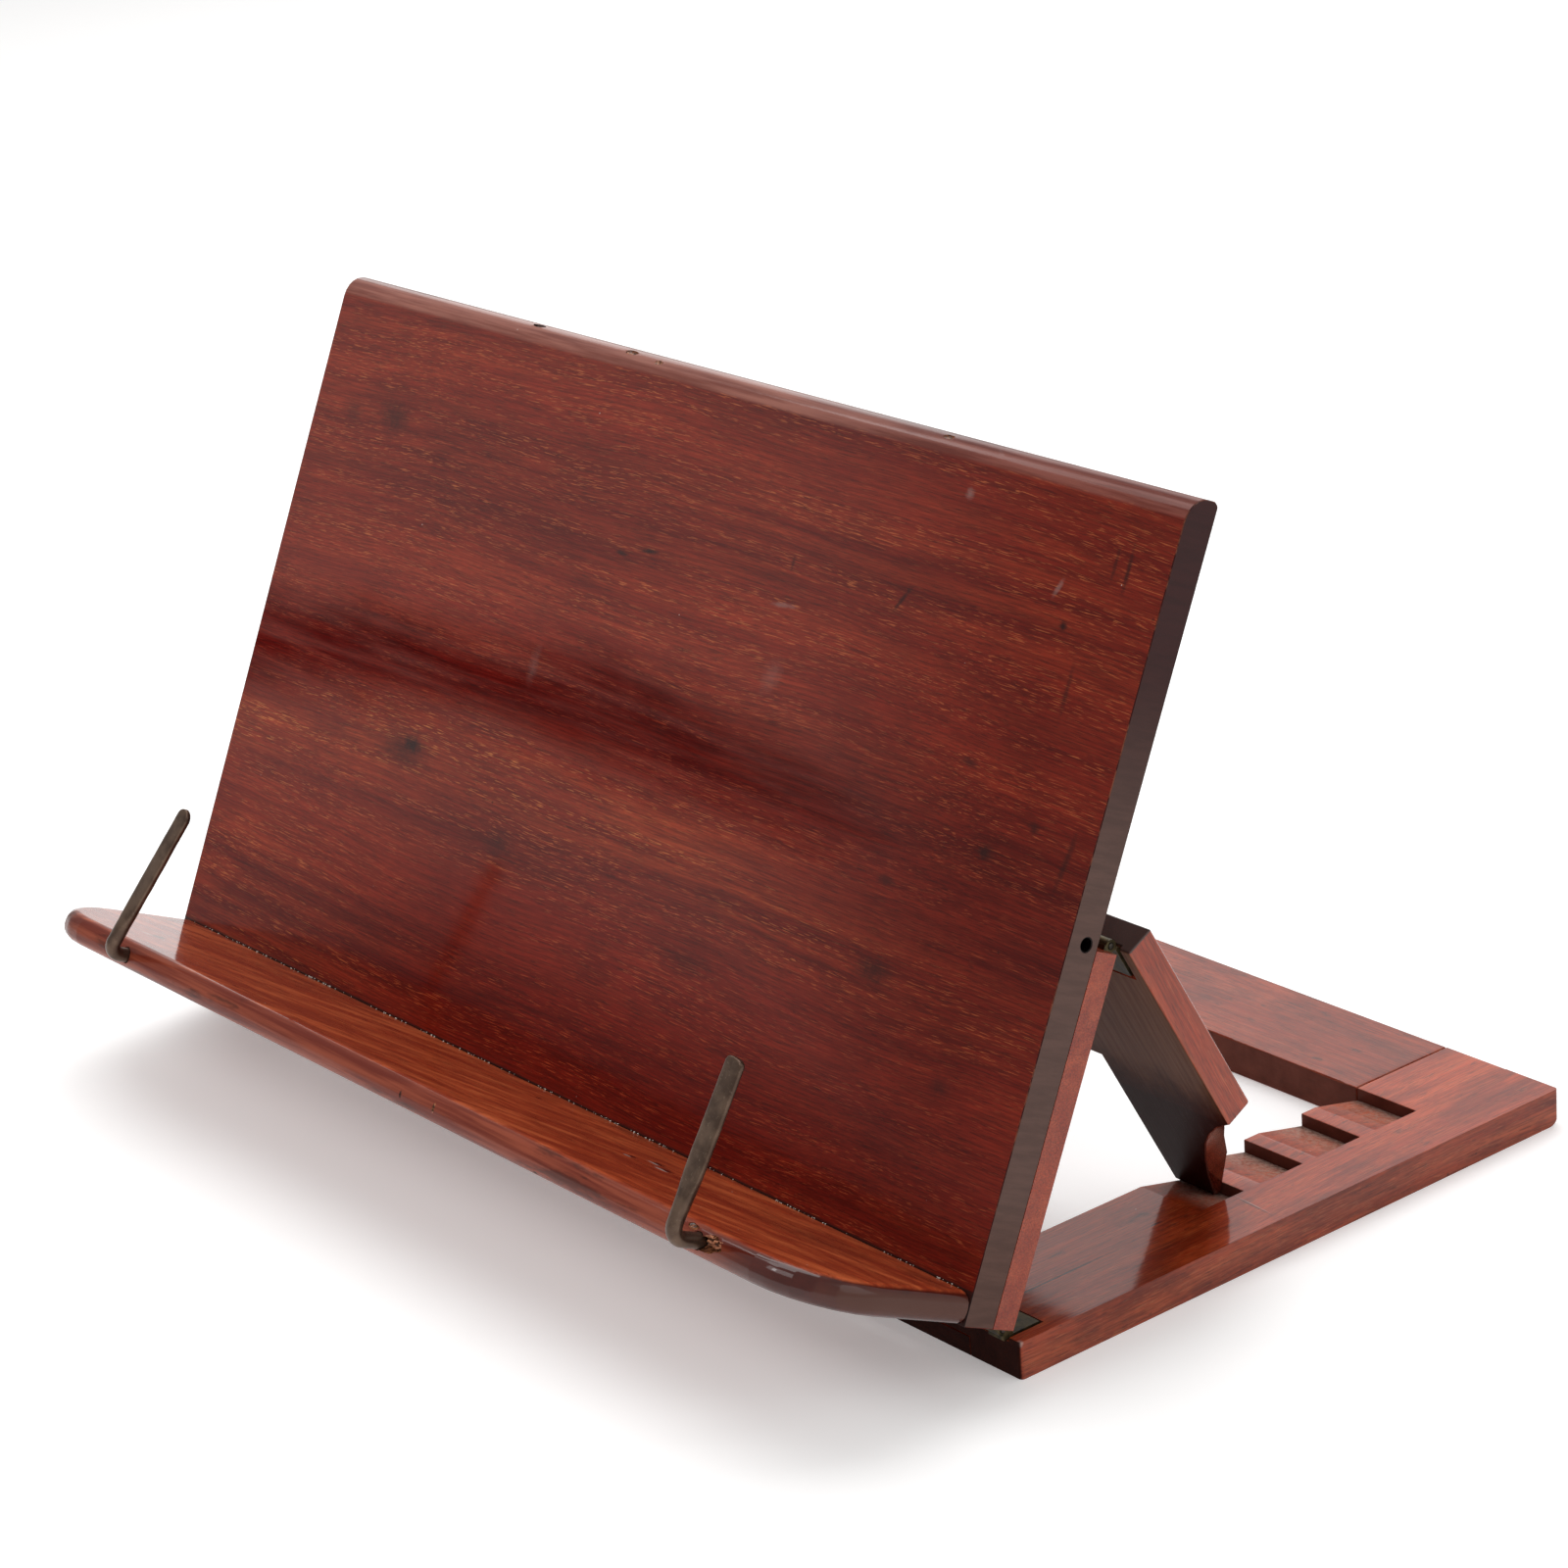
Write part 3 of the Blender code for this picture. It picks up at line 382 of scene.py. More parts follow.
def woodMaterial(name, look, turn=(0, 0, 0), shift=(0, 0, 0), marks=None, tone=None,
                 ends=None, dust=None, dull=None):
    # turn and shift lay the grain along X of the piece. tone and ends colour it in
    # places, dust and dull say where it is dusty and where it has lost its polish.
    wood = Finish(name, turn, shift)
    place, seed = wood.place, look["seed"]
    sway = wood.noise((5, 9, 9), 1.5, shift=(seed, 0, 0), output="Color")
    sway = wood.vector("SUBTRACT", sway, (0.5, 0.5, 0.5))
    grain = wood.vector("ADD", place, wood.scaled(sway, (0, look["sway"], look["sway"])))

    def along(kind, detail, shiftBy, rough=0.5):
        run, across = look[kind]
        return wood.noise((run, across, across), detail, rough, grain,
                          (shiftBy + seed, seed, 0))

    figure = wood.remap(along("figure", 4, 0, 0.55), 0.30, 0.68)
    bands = wood.remap(along("bands", 3, 5, 0.6), 0.34, 0.72)
    fibres = along("fibres", 2, 9)
    darkPores = wood.remap(along("pores", 1, 31), 0.56, 0.70)
    poreZone = wood.remap(along("bands", 2, 17), 0.40, 0.62, 0.15, 1.0)
    pores = wood.times(wood.remap(along("pores", 1, 13), 0.59, 0.69), poreZone)
    cloud = wood.cloud = wood.noise((11, 15, 15), 4, 0.6, shift=(seed, 7, 0))
    rag = wood.noise(420.0, 3, 0.6)

    wood.colour = wood.mix(figure, look["deep"], look["middle"])
    wood.cover(wood.times(bands, look["bandShare"]), look["light"])
    wood.cover(wood.times(wood.remap(cloud, 0.42, 0.68), look["cloudShare"]), look["deep"])
    wood.tint(1.0, wood.remap(fibres, 0.3, 0.7, 0.75, 1.24))
    wood.cover(wood.times(darkPores, look["darkPoreShare"]), look["dark"])
    wood.cover(wood.times(pores, look["poreShare"]), look["pore"])
    if tone:
        tone(wood)
    if marks:
        wood.cover(spots(wood, marks, "dark", rag), look["dark"])
        wood.cover(spots(wood, marks, "pale", rag), look["scratch"])

    # Worn arrises: the bevelled faces carry the edgeWear attribute
    edge = wood.attribute("edgeWear")
    rub = wood.remap(wood.noise(95.0, 4, 0.65), 0.46, 0.62)
    wood.cover(wood.times(edge, rub, look["rubShare"]), look["worn"])
    grime = wood.remap(wood.noise(150.0, 4, 0.7), 0.60, 0.72)
    wood.cover(wood.times(edge, grime, look["grimeShare"]), look["dark"])
    # Chips and broken places: cut faces carry rawWood or oldChip
    shade = wood.remap(wood.noise(900.0, 3, 0.7), 0.36, 0.74)
    for cut in ("rawWood", "oldChip"):
        wood.cover(wood.attribute(cut), wood.mix(shade, *look[cut]))

    # Dark specks of dirt, thicker in places
    cells = wood.cells(70.0, wood.scaled(place, (1, 1, 1), (seed, 3, 1)))
    near = wood.timesPlus(rag, 0.05, cells["Distance"])
    near = wood.remap(near, 0.040, 0.085, 1.0, 0.0)
    chosen = wood.remap(wood.split(cells["Color"])[1], 0.74, 0.80)
    zone = wood.remap(cloud, 0.42, 0.55, 0.15, 0.8)
    wood.cover(wood.times(near, chosen, zone), look["dark"])
    # Small dry flecks of dust and plaster
    cells = wood.cells(85.0, place)
    near = wood.remap(cells["Distance"], 0.014, 0.026, 1.0, 0.0)
    chosen = wood.remap(wood.split(cells["Color"])[0], 0.70, 0.74)
    wood.cover(wood.times(near, chosen, look["fleckShare"]), look["fleck"])
    if ends:
        ends(wood)

    gloss = wood.timesPlus(cloud, 0.16, look["rough"] - 0.06)
    coat, matt = look["coat"], dull(wood) if dull else None
    if dust:
        dusty = dust(wood)
        wood.cover(dusty, look["dust"])
        gloss = wood.timesPlus(dusty, 0.4, gloss)
        matt = wood.highest(matt, dusty)
    if matt is not None:
        coat = wood.timesPlus(matt, -coat, coat)
    height = wood.timesPlus(fibres, 0.5, wood.times(pores, -0.5))
    height = wood.timesPlus(bands, 0.25, height)
    ripple = wood.timesPlus(fibres, 0.06, wood.noise((40, 90, 90), 3))
    return wood.done({
        "Roughness": gloss, "Specular IOR Level": look["specular"], "Coat Weight": coat,
        "Coat Roughness": look["coatRough"], "Coat IOR": look["coatIor"],
        "Normal": wood.bump(0.20, 0.0003, height),
        "Coat Normal": wood.bump(0.10, 0.0010, ripple)})


slopeTurn = (-(math.pi / 2 - stand["slopeTilt"]), 0, 0)
slopeShift = tuple(-(Matrix.Rotation(slopeTurn[0], 3, "X") @ slopeCorner))
# The prop's grain runs down it, so its frame is turned to put X along downProp
propTurnMatrix = Matrix((downProp, xAxis, downProp.cross(xAxis)))
propTurn = tuple(propTurnMatrix.to_euler("XYZ"))
propShift = tuple(-(propTurnMatrix @ propCorner))
alongY = (0, 0, -math.pi / 2)


def paintedReflectionBand(wood, lift=0.0, reach=0.032):
    # A band of painted dark reflection, figured along the grain, that dips from the left
    # edge and runs on to the right
    x, y, _ = wood.split(wood.place)
    centred = wood.plus(x, 0.02)
    arch = wood.times(centred, centred, 0.42)
    wander = wood.timesPlus(wood.cloud, 0.028, 0.127)
    gap = wood.math("ABSOLUTE", wood.minus(y, wood.minus(wander, arch), lift))
    frayed = wood.noise((9, 160, 1), 4, 0.6)
    return wood.times(wood.remap(gap, 0.0, reach, 1.0, 0.0),
                      wood.remap(frayed, 0.25, 0.65, 0.45, 1.0),
                      wood.remap(x, -0.02, 0.20, 1.0, 0.45))


# Grime and painted shade where the board meets the ledge
jointGrimeAndShade = (0.012, 0.007, 0.006)


def boardTone(wood):
    x, y, through = wood.split(wood.place)
    # Painted reflections: a paler, less red band below, and a dark red band where
    # something dark is reflected
    wood.tint(paintedReflectionBand(wood, -0.030, 0.024), (1.45, 1.9, 1.6))
    wood.tint(paintedReflectionBand(wood), (0.46, 0.13, 0.18))
    # The lower middle and the right side are a deeper, purer red
    lower = wood.times(wood.remap(y, 0.015, 0.12, 0.85, 0.0),
                       wood.remap(x, -0.20, -0.02, 0.15, 1.0),
                       wood.remap(x, 0.07, 0.20, 1.0, 0.30))
    wood.tint(lower, (0.88, 0.42, 0.36))
    rightSide = wood.times(wood.remap(x, 0.03, 0.19, 0.0, 0.70),
                           wood.remap(y, 0.14, 0.24, 1.0, 0.35))
    wood.tint(rightSide, (0.62, 0.42, 0.44))
    left = wood.times(wood.remap(y, 0.04, 0.11, 1.0, 0.0),
                      wood.remap(x, -0.21, -0.08, 1.0, 0.0))
    wood.tint(left, (1.25, 1.35, 1.25))
    # The rounded top is painted paler as a painted sheen, less so towards the right, and
    # the right front arris is dark red
    streaks = wood.remap(wood.noise((14, 300, 300), 4, 0.6), 0.36, 0.64)
    pale = wood.mix(streaks, (0.150, 0.038, 0.025), (0.300, 0.115, 0.085))
    pale = wood.mix(wood.remap(x, 0.02, 0.12), pale, (0.68, 0.58, 0.60), "MULTIPLY")
    wood.cover(wood.facing(upSlope, 0.06, 0.24, 0.0, 0.85), pale)
    arris = wood.times(wood.facing(xAxis, 0.12, 0.35),
                       wood.facing(-throughSlope, 0.12, 0.35))
    wood.cover(arris, (0.030, 0.0030, 0.0022))
    # Grime and painted shade along the joint with the ledge
    above = stand["ledgeThick"]
    joint = wood.times(wood.remap(y, above + 0.0002, above + 0.0012, 0.85, 0.0),
                       wood.remap(through, -0.0012, -0.0004))
    wood.cover(joint, jointGrimeAndShade)


def boardDull(wood):
    x, y, _ = wood.split(wood.place)
    low = wood.times(wood.remap(y, 0.020, 0.095, 0.80, 0.0),
                     wood.remap(x, -0.20, -0.05, 0.45, 1.0))
    # Less coat where the dark reflection is painted, low down and towards the right
    return wood.highest(paintedReflectionBand(wood), low, wood.remap(x, 0.05, 0.20, 0.0, 0.65))


endHole = {"up": 124.5 * mm, "through": -7.7 * mm, "radius": 2.45 * mm}


def boardEnds(wood):
    # The cut ends are painted grey-brown as a painted reflection, darker towards the top
    up = wood.split(wood.place)[1]
    tint = wood.mix(wood.remap(up, 0.14, 0.22), (0.090, 0.047, 0.037),
                    (0.030, 0.0055, 0.0050))
    streak = wood.remap(wood.noise((1, 420, 60), 3, 0.6), 0.3, 0.7, 0.88, 1.14)
    tint = wood.mix(1.0, tint, streak, "MULTIPLY")
    sideways = wood.math("ABSOLUTE", wood.split(wood.normal)[0])
    wood.cover(wood.remap(sideways, 0.85, 0.98), tint)
    # The small hole in the right end is painted black inside as painted shade
    radius = endHole["radius"]
    away = wood.vector("DISTANCE", wood.scaled(wood.place, (0, 1, 1)),
                       (0, endHole["up"], endHole["through"]))
    wood.cover(wood.remap(away, radius, radius * 1.15, 1.0, 0.0), (0.004, 0.002, 0.002))


def ledgeTone(wood):
    # Only the top is bright: the moulded front and the ends are darker and redder
    x, up, front = wood.split(wood.place)
    slanted = wood.made("ShaderNodeMapping", {
        "Vector": wood.place, "Rotation": (0, -0.32, 0)})
    curl = wood.noise((20, 60, 190), 5, 0.62, slanted)
    wood.cover(wood.remap(curl, 0.50, 0.64, 0.0, 0.65), (0.520, 0.120, 0.040))
    wood.cover(wood.remap(curl, 0.36, 0.48, 0.70, 0.0), (0.170, 0.020, 0.008))
    streaks = wood.remap(wood.noise((16, 420, 420), 3, 0.6), 0.35, 0.65)
    moulded = wood.mix(streaks, (0.250, 0.055, 0.028), (0.130, 0.019, 0.010))
    rubbed = wood.noise((24, 130, 130), 4, 0.65)
    # The right front corner is dark and glossy, the end behind it dull and grey
    corner = wood.mix(rubbed, (0.012, 0.0018, 0.0014), (0.100, 0.0130, 0.0070))
    for share, colour in (
            (wood.remap(rubbed, 0.60, 0.70, 0.0, 0.6), (0.030, 0.007, 0.005)),
            (wood.remap(x, 0.168, 0.205), corner),
            (wood.facing(xAxis, 0.60, 1.0), (0.098, 0.046, 0.036)),
            (wood.remap(x, -0.229, -0.190, 0.85, 0.0), (0.040, 0.015, 0.010))):
        moulded = wood.mix(share, moulded, colour)
    wood.colour = wood.mix(wood.facing(upSlope, 0.80, 0.97), moulded, wood.colour)
    # Dust, grime and painted shade in the corner under the board
    joint = wood.times(wood.remap(front, 0.0003, 0.0013, 0.75, 0.0),
                       wood.remap(up, 0.009, 0.0104))
    wood.cover(joint, jointGrimeAndShade)


def ledgeDull(wood):
    polish = wood.remap(wood.split(wood.place)[0], 0.168, 0.205, 0.55, 0.0)
    polish = wood.highest(polish, wood.facing(xAxis, 0.60, 1.0, 0.0, 0.8))
    return wood.remap(wood.facing(upSlope, 0.80, 0.97), 0.0, 1.0, polish, 0.12)


def propEnds(wood):
    # A dirty end-grain top edge, and a front painted grey-brown as a painted reflection,
    # going near black at the feet as painted shade and a painted dark reflection
    down = wood.split(wood.place)[0]
    wood.cover(wood.remap(down, 0.3 * mm, 0.9 * mm, 0.92, 0.0), (0.040, 0.031, 0.028))
    # Below the shoulders the legs are tinted darker
    wood.tint(wood.remap(down, 0.0836, 0.0850), (0.20, 0.16, 0.22))
    streak = wood.remap(wood.noise((30, 500, 500), 3, 0.6), 0.30, 0.70)
    propFrontSheenAndShade = wood.mix(streak, (0.092, 0.038, 0.020), (0.140, 0.066, 0.036))
    legs = wood.timesPlus(wood.noise(60.0, 3, 0.6), 0.03, down)
    propFrontSheenAndShade = wood.mix(wood.remap(legs, 0.076, 0.098), propFrontSheenAndShade, (0.020, 0.0022, 0.0014))
    wood.cover(wood.facing(-throughProp, 0.80, 0.97, 0.0, 0.95), propFrontSheenAndShade)


def propDull(wood):
    legs = wood.remap(wood.split(wood.place)[0], 0.058, 0.078, 0.90, 1.0)
    return wood.times(legs, wood.facing(-throughProp, 0.80, 0.97))


def railTone(wood):
    # Patches of old dirt, and a few darker stains
    patches = wood.noise((24, 60, 60), 6, 0.72)
    wood.tint(wood.remap(patches, 0.44, 0.60, 0.0, 0.60), (0.50, 0.46, 0.52))
    stains = wood.noise((60, 210, 210), 5, 0.75)
    wood.cover(wood.remap(stains, 0.58, 0.70, 0.0, 0.65), (0.035, 0.012, 0.009))


def stripTone(wood):
    # The tops are painted paler and pinker as a painted sheen from the light above; faces
    # looking towards +x are tinted greyer
    wood.tint(wood.facing(zAxis, 0.80, 0.97), (1.38, 1.30, 0.98))
    wood.tint(wood.facing(xAxis, 0.80, 0.97), (0.92, 1.06, 1.06))
    # The floors of the notches are painted black with painted shade at the foot of each
    # wall
    top = stand["baseThick"]
    foot = wood.remap(wood.split(wood.place)[2], top - 0.0046, top - 0.0030, 0.90, 0.0)
    foot = wood.times(foot, wood.facing(zAxis, 0.5, 0.9))
    wood.cover(foot, (0.020, 0.0090, 0.0070))
    railTone(wood)


def paintedFrontShade(wood):
    # Painted shade on every face that looks forwards: near black on the outermost fronts,
    # lighter on those set further back
    foot = wood.noise(140.0, 4, 0.6)
    front = stand["baseFront"]
    inner = wood.remap(wood.split(wood.object)[1], front + 0.002, front + 0.020)
    outerShade = wood.mix(foot, (0.004, 0.0016, 0.0014), (0.014, 0.0050, 0.0042))
    innerShade = wood.mix(foot, (0.044, 0.0160, 0.0115), (0.185, 0.0620, 0.0440))
    forwardShade = wood.mix(inner, outerShade, innerShade)
    wood.cover(wood.facing(-yAxis, 0.50, 0.90, 0.0, 0.94), forwardShade)


def frontDull(wood):
    return wood.facing(-yAxis, 0.50, 0.90, 0.0, 0.98)


def rampDust(wood):
    # Dust settles on the faces sunk below the top of the base that look upwards
    top = stand["baseThick"]
    sunk = wood.remap(wood.split(wood.place)[2], top - 0.0030, top - 0.0002, 1.0, 0.0)
    speckle = wood.remap(wood.noise(700.0, 4, 0.7), 0.35, 0.62, 0.35, 1.0)
    return wood.times(sunk, wood.facing(zAxis, 0.5, 0.9), speckle,
                      wood.remap(wood.cloud, 0.3, 0.7, 0.35, 0.75))


def emptyPiece(name, mesh, material=None):
    piece = bpy.data.objects.new(name, mesh)
    bpy.context.scene.collection.objects.link(piece)
    if material is not None:
        mesh.materials.clear()
        mesh.materials.append(material)
    return piece


def pieceOf(name, work, material=None):
    mesh = bpy.data.meshes.new(name)
    work.to_mesh(mesh)
    work.free()
    return emptyPiece(name, mesh, material)


def workOf(piece):
    # Takes a piece's mesh back into editing and drops the piece
    work = bmesh.new()
    work.from_mesh(piece.data)
    bpy.data.objects.remove(piece, do_unlink=True)
    return work


def plainMesh(piece):
    # Bakes the modifiers into the mesh and drops them
    bpy.context.view_layer.update()
    graph = bpy.context.evaluated_depsgraph_get()
    made = bpy.data.meshes.new_from_object(
        piece.evaluated_get(graph), preserve_all_data_layers=True, depsgraph=graph)
    piece.modifiers.clear()
    piece.data = made
    return piece


def weld(work):
    bmesh.ops.remove_doubles(work, verts=work.verts, dist=meshing["weld"])


def mergedNode(node):
    # A welded copy of a CAD node's loose triangles, its flat faces made whole again
    work = bmesh.new()
    work.from_mesh(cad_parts[node].data)
    weld(work)
    bmesh.ops.dissolve_limit(work, angle_limit=meshing["flat"], verts=work.verts,
                             edges=work.edges)
    return work


def softenEdges(work, width, segments=3, test=None):
    layer = work.faces.layers.float.new("edgeWear")
    sharp = [edge for edge in work.edges
             if len(edge.link_faces) == 2 and edge.calc_face_angle(0) > meshing["arris"]
             and edge.is_convex and (test is None or test(edge))]
    made = bmesh.ops.bevel(work, geom=sharp, offset=width, segments=segments,
                           profile=0.5, affect="EDGES", clamp_overlap=True)
    for face in made["faces"]:
        face[layer] = 1.0


def cutAcross(work, direction, distance):
    everything = work.verts[:] + work.edges[:] + work.faces[:]
    bmesh.ops.bisect_plane(work, geom=everything, dist=meshing["onPlane"],
                           plane_co=direction * distance, plane_no=direction)


def cutLoops(work, direction, start, end, step):
    # Cuts a long piece across at even steps, so that its edges can wear unevenly
    count = max(1, int((end - start) / step))
    for index in range(1, count):
        cutAcross(work, direction, start + (end - start) * index / count)


def roundRearFoot(work, rear, radius, steps=8):
    # The base's lower rear edge is rounded much more than its other edges
    for index in range(steps):
        cutAcross(work, yAxis, rear - radius * math.cos(math.pi / 2 * index / steps))
    for vert in work.verts:
        into = vert.co.y - (rear - radius)
        if into > 0:
            rise = radius - math.sqrt(max(0.0, radius ** 2 - into ** 2))
            vert.co.z = max(vert.co.z, rise)
    weld(work)


def wearEdges(work, amount, seed):
    # Presses the bevelled arrises in by an uneven amount, with a dent here and there
    layer = work.faces.layers.float["edgeWear"]
    work.normal_update()
    offset = Vector((seed, seed * 0.7, 0))
    moves = []
    for vert in work.verts:
        if not vert.link_faces or any(face[layer] < 0.5 for face in vert.link_faces):
            continue
        rough = noise.noise(vert.co * 90 + offset) * 0.6
        rough += noise.noise(vert.co * 320 + offset) * 0.4
        dent = max(0.0, noise.noise(vert.co * 45 - offset) - 0.38) * 3.0
        moves.append((vert, -vert.normal * amount * (0.35 + 0.65 * rough + dent)))
    for vert, move in moves:
        vert.co += move


def onBody(piece, body, slotName, *nodes):
    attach(piece, body)
    if nodes:
        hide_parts(*nodes)


def wornPiece(name, work, material, body, node, slotName="mahogany"):
    work.normal_update()
    for face in work.faces:
        face.smooth = True
    for edge in work.edges:
        if len(edge.link_faces) == 2 and edge.calc_face_angle(0) > meshing["crease"]:
            edge.smooth = False
    piece = pieceOf(name, work, material)
    step = piece.modifiers.new("flat_faces_stay_flat", "WEIGHTED_NORMAL")
    step.keep_sharp = True
    onBody(plainMesh(piece), body, slotName, node)


# In mm: how wide a piece's arrises are softened, how far they wear, and in what steps
arrises = {"strip": (0.35, 0.12, 6), "side": (0.75, 0.3, 5), "rail": (0.45, 0.25, 6),
           "slope_board": (0.7, 0.3, 5), "slope_back_panel": (0.7, 0.3, 5),
           "book_ledge": (0.5, 0.1, 5), "prop": (0.7, 0.3, 6)}
acrossWidth = (xAxis, -halfWidth, halfWidth)


def wornBoard(name, work, finish, body, node, kind, seed, run=acrossWidth, lumps=()):
    # Cuts a softened board across, breaks bits off, wears its arrises and puts it in place
    _, wear, step = (size * mm for size in arrises[kind])
    cutLoops(work, *run, step)
    if lumps:
        work = breakAway(work, lumps)
    wearEdges(work, wear, seed)
    wornPiece(name, work, finish, body, node)


def boxWork(low, high):
    work = bmesh.new()
    low, high = Vector(low), Vector(high)
    size = Matrix.Diagonal((*(high - low), 1.0))
    bmesh.ops.create_cube(work, size=1.0,
                          matrix=Matrix.Translation((low + high) / 2) @ size)
    return work


def cutAway(piece, cutterWork):
    # Cuts one closed form out of a piece
    cutter = pieceOf("cutter", cutterWork)
    step = piece.modifiers.new("cut", "BOOLEAN")
    step.operation, step.solver, step.object = "DIFFERENCE", "EXACT", cutter
    plainMesh(piece)
    bpy.data.objects.remove(cutter, do_unlink=True)


class Builder(Nodes):
    # A Geometry Nodes tree with named inputs, and the identifier of each
    def __init__(self, name, inputs, takesGeometry=False):
        super().__init__(bpy.data.node_groups.new(name, "GeometryNodeTree"))
        if takesGeometry:
            self.addSocket("Geometry", "INPUT", "Geometry")
        self.keys = {}
        for label, value in inputs.items():
            kind = "Int" if isinstance(value, int) else "Float"
            self.keys[label] = self.addSocket(label, "INPUT", kind)
        self.addSocket("Geometry", "OUTPUT", "Geometry")
        self.given = self.tree.nodes.new("NodeGroupInput").outputs
        self.end = self.tree.nodes.new("NodeGroupOutput")

    def addSocket(self, label, way, kind):
        return self.tree.interface.new_socket(
            label, in_out=way, socket_type=f"NodeSocket{kind}").identifier

    def named(self, attribute, kind):
        return self.made("GeometryNodeInputNamedAttribute", {"Name": attribute},
                         data_type=kind)

    def onPoints(self, points, shape, **inputs):
        return self.made("GeometryNodeInstanceOnPoints", {
            "Points": points, "Instance": shape, **inputs})

    def finish(self, shape, material):
        real = self.made("GeometryNodeRealizeInstances", {0: shape})
        self.fill(self.end, {0: self.made("GeometryNodeSetMaterial", {
            "Geometry": real, "Material": material})})

    def run(self, name, values, mesh=None):
        piece = emptyPiece(name, mesh or bpy.data.meshes.new(name))
        step = piece.modifiers.new("made_by_nodes", "NODES")
        step.node_group = self.tree
        for label, value in values.items():
            step[self.keys[label]] = value
        return plainMesh(piece)


# Ratchet strips: the toothed bars that hold the prop's feet
ratchet = {
    "Length": 253.3 * mm, "Width": 27.98 * mm, "Thick": stand["baseThick"],
    "Pitch": 28.0 * mm, "Depth": 4.7 * mm, "Ridge": 7.0 * mm, "Teeth": 4,
    "Rail Width": 46.1 * mm, "Front Lap": 6.9 * mm, "Rear Lap": 6.1 * mm,
    "Gap": 0.3 * mm,
}
toothPoints = 3  # along the side profile, for each tooth


def ratchetTree(material):
    # Draws the strip's toothed side profile point by point, then gives it its width
    strip = Builder("ratchet_strip", ratchet)
    length, width, thick, pitch, depth, ridge, teeth, rail, frontLap, rearLap, gap = (
        strip.given[label] for label in ratchet)
    calc, point, made = strip.math, strip.xyz, strip.made
    plus, minus, times = strip.plus, strip.minus, strip.times
    rearRail = minus(length, rail)
    frontEnd, rearStart = plus(rail, gap), minus(rearRail, gap)
    corners = [
        point(0.0, thick), point(0.0, frontLap), point(frontEnd, frontLap),
        point(frontEnd, 0.0), point(rearStart, 0.0), point(rearStart, rearLap),
        point(length, rearLap), point(length, thick),
    ]
    plain = float(len(corners))
    index = made("GeometryNodeInputIndex")
    sinceTeeth = minus(index, plain)
    tooth = calc("FLOOR", calc("DIVIDE", plus(sinceTeeth, 0.5), toothPoints))
    phase = minus(sinceTeeth, times(tooth, toothPoints))
    isFloor, isRampTop = (calc("COMPARE", phase, which, 0.3) for which in (1.0, 2.0))
    wall = minus(rearRail, times(tooth, pitch))
    ramp = times(isRampTop, minus(pitch, ridge))
    toothPoint = point(minus(wall, ramp), minus(thick, times(isFloor, depth)))
    pick = strip.add("GeometryNodeIndexSwitch", data_type="VECTOR")
    while len(pick.index_switch_items) < len(corners) + 1:
        pick.index_switch_items.new()
    strip.fill(pick, enumerate([calc("MINIMUM", index, plain), *corners, toothPoint]))
    count = plus(times(teeth, toothPoints), plain)
    dots = made("GeometryNodePoints", {"Count": count, "Position": pick.outputs[0]})
    line = made("GeometryNodePointsToCurves", {"Points": dots})
    ring = made("GeometryNodeSetSplineCyclic", {"Geometry": line, "Cyclic": True})
    sheet = made("GeometryNodeFillCurve", {"Curve": ring}, mode="NGONS")
    raised = made("GeometryNodeExtrudeMesh", {
        "Mesh": sheet, "Offset": point(z=width), "Individual": False}, mode="FACES")
    turned = made("GeometryNodeFlipFaces", {0: sheet})
    both = made("GeometryNodeJoinGeometry", {0: [raised, turned]})
    strip.finish(made("GeometryNodeMergeByDistance", {
        "Geometry": both, "Distance": 0.01 * mm}), material)
    return strip


hingeMortise = {"half": 19.9 * mm, "middle": 203.5 * mm, "rear": -65.8 * mm,
                "floor": 12.0 * mm, "over": 5 * mm, "top": 20 * mm}
rearFoot = 4.5 * mm
jointGap = 0.1 * mm


def addRatchets(wood):
    tree = ratchetTree(wood)
    for side, word in ((-1, "left"), (1, "right")):
        node = f"base_ratchet_strip_{word}"
        low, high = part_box(node)
        piece = tree.run(f"toothed_strip_{word}", ratchet)
        # The tree lays the strip out along X with its height along Y. The strip is
        # glued to the side strip, so it closes the gap between the solids.
        start = low.x if side > 0 else high.x - ratchet["Width"]
        piece.data.transform(Matrix((
            (0, 0, 1, start), (1, 0, 0, low.y), (0, 1, 0, 0), (0, 0, 0, 1))))
        middle, half = side * hingeMortise["middle"], hingeMortise["half"]
        cutAway(piece, boxWork(
            (middle - half, low.y - hingeMortise["over"], hingeMortise["floor"]),
            (middle + half, hingeMortise["rear"], hingeMortise["top"])))
        work = workOf(piece)
        weld(work)
        bmesh.ops.recalc_face_normals(work, faces=work.faces)
        outer = max(abs(low.x), abs(high.x)) - jointGap
        softenEdges(work, arrises["strip"][0] * mm, 2, lambda edge: any(
            abs(vert.co.x) < outer for vert in edge.verts))
        wornBoard(f"toothed_strip_{word}", work, wood, "base", node, "strip",
                  4.0 + side, (yAxis, low.y, high.y))


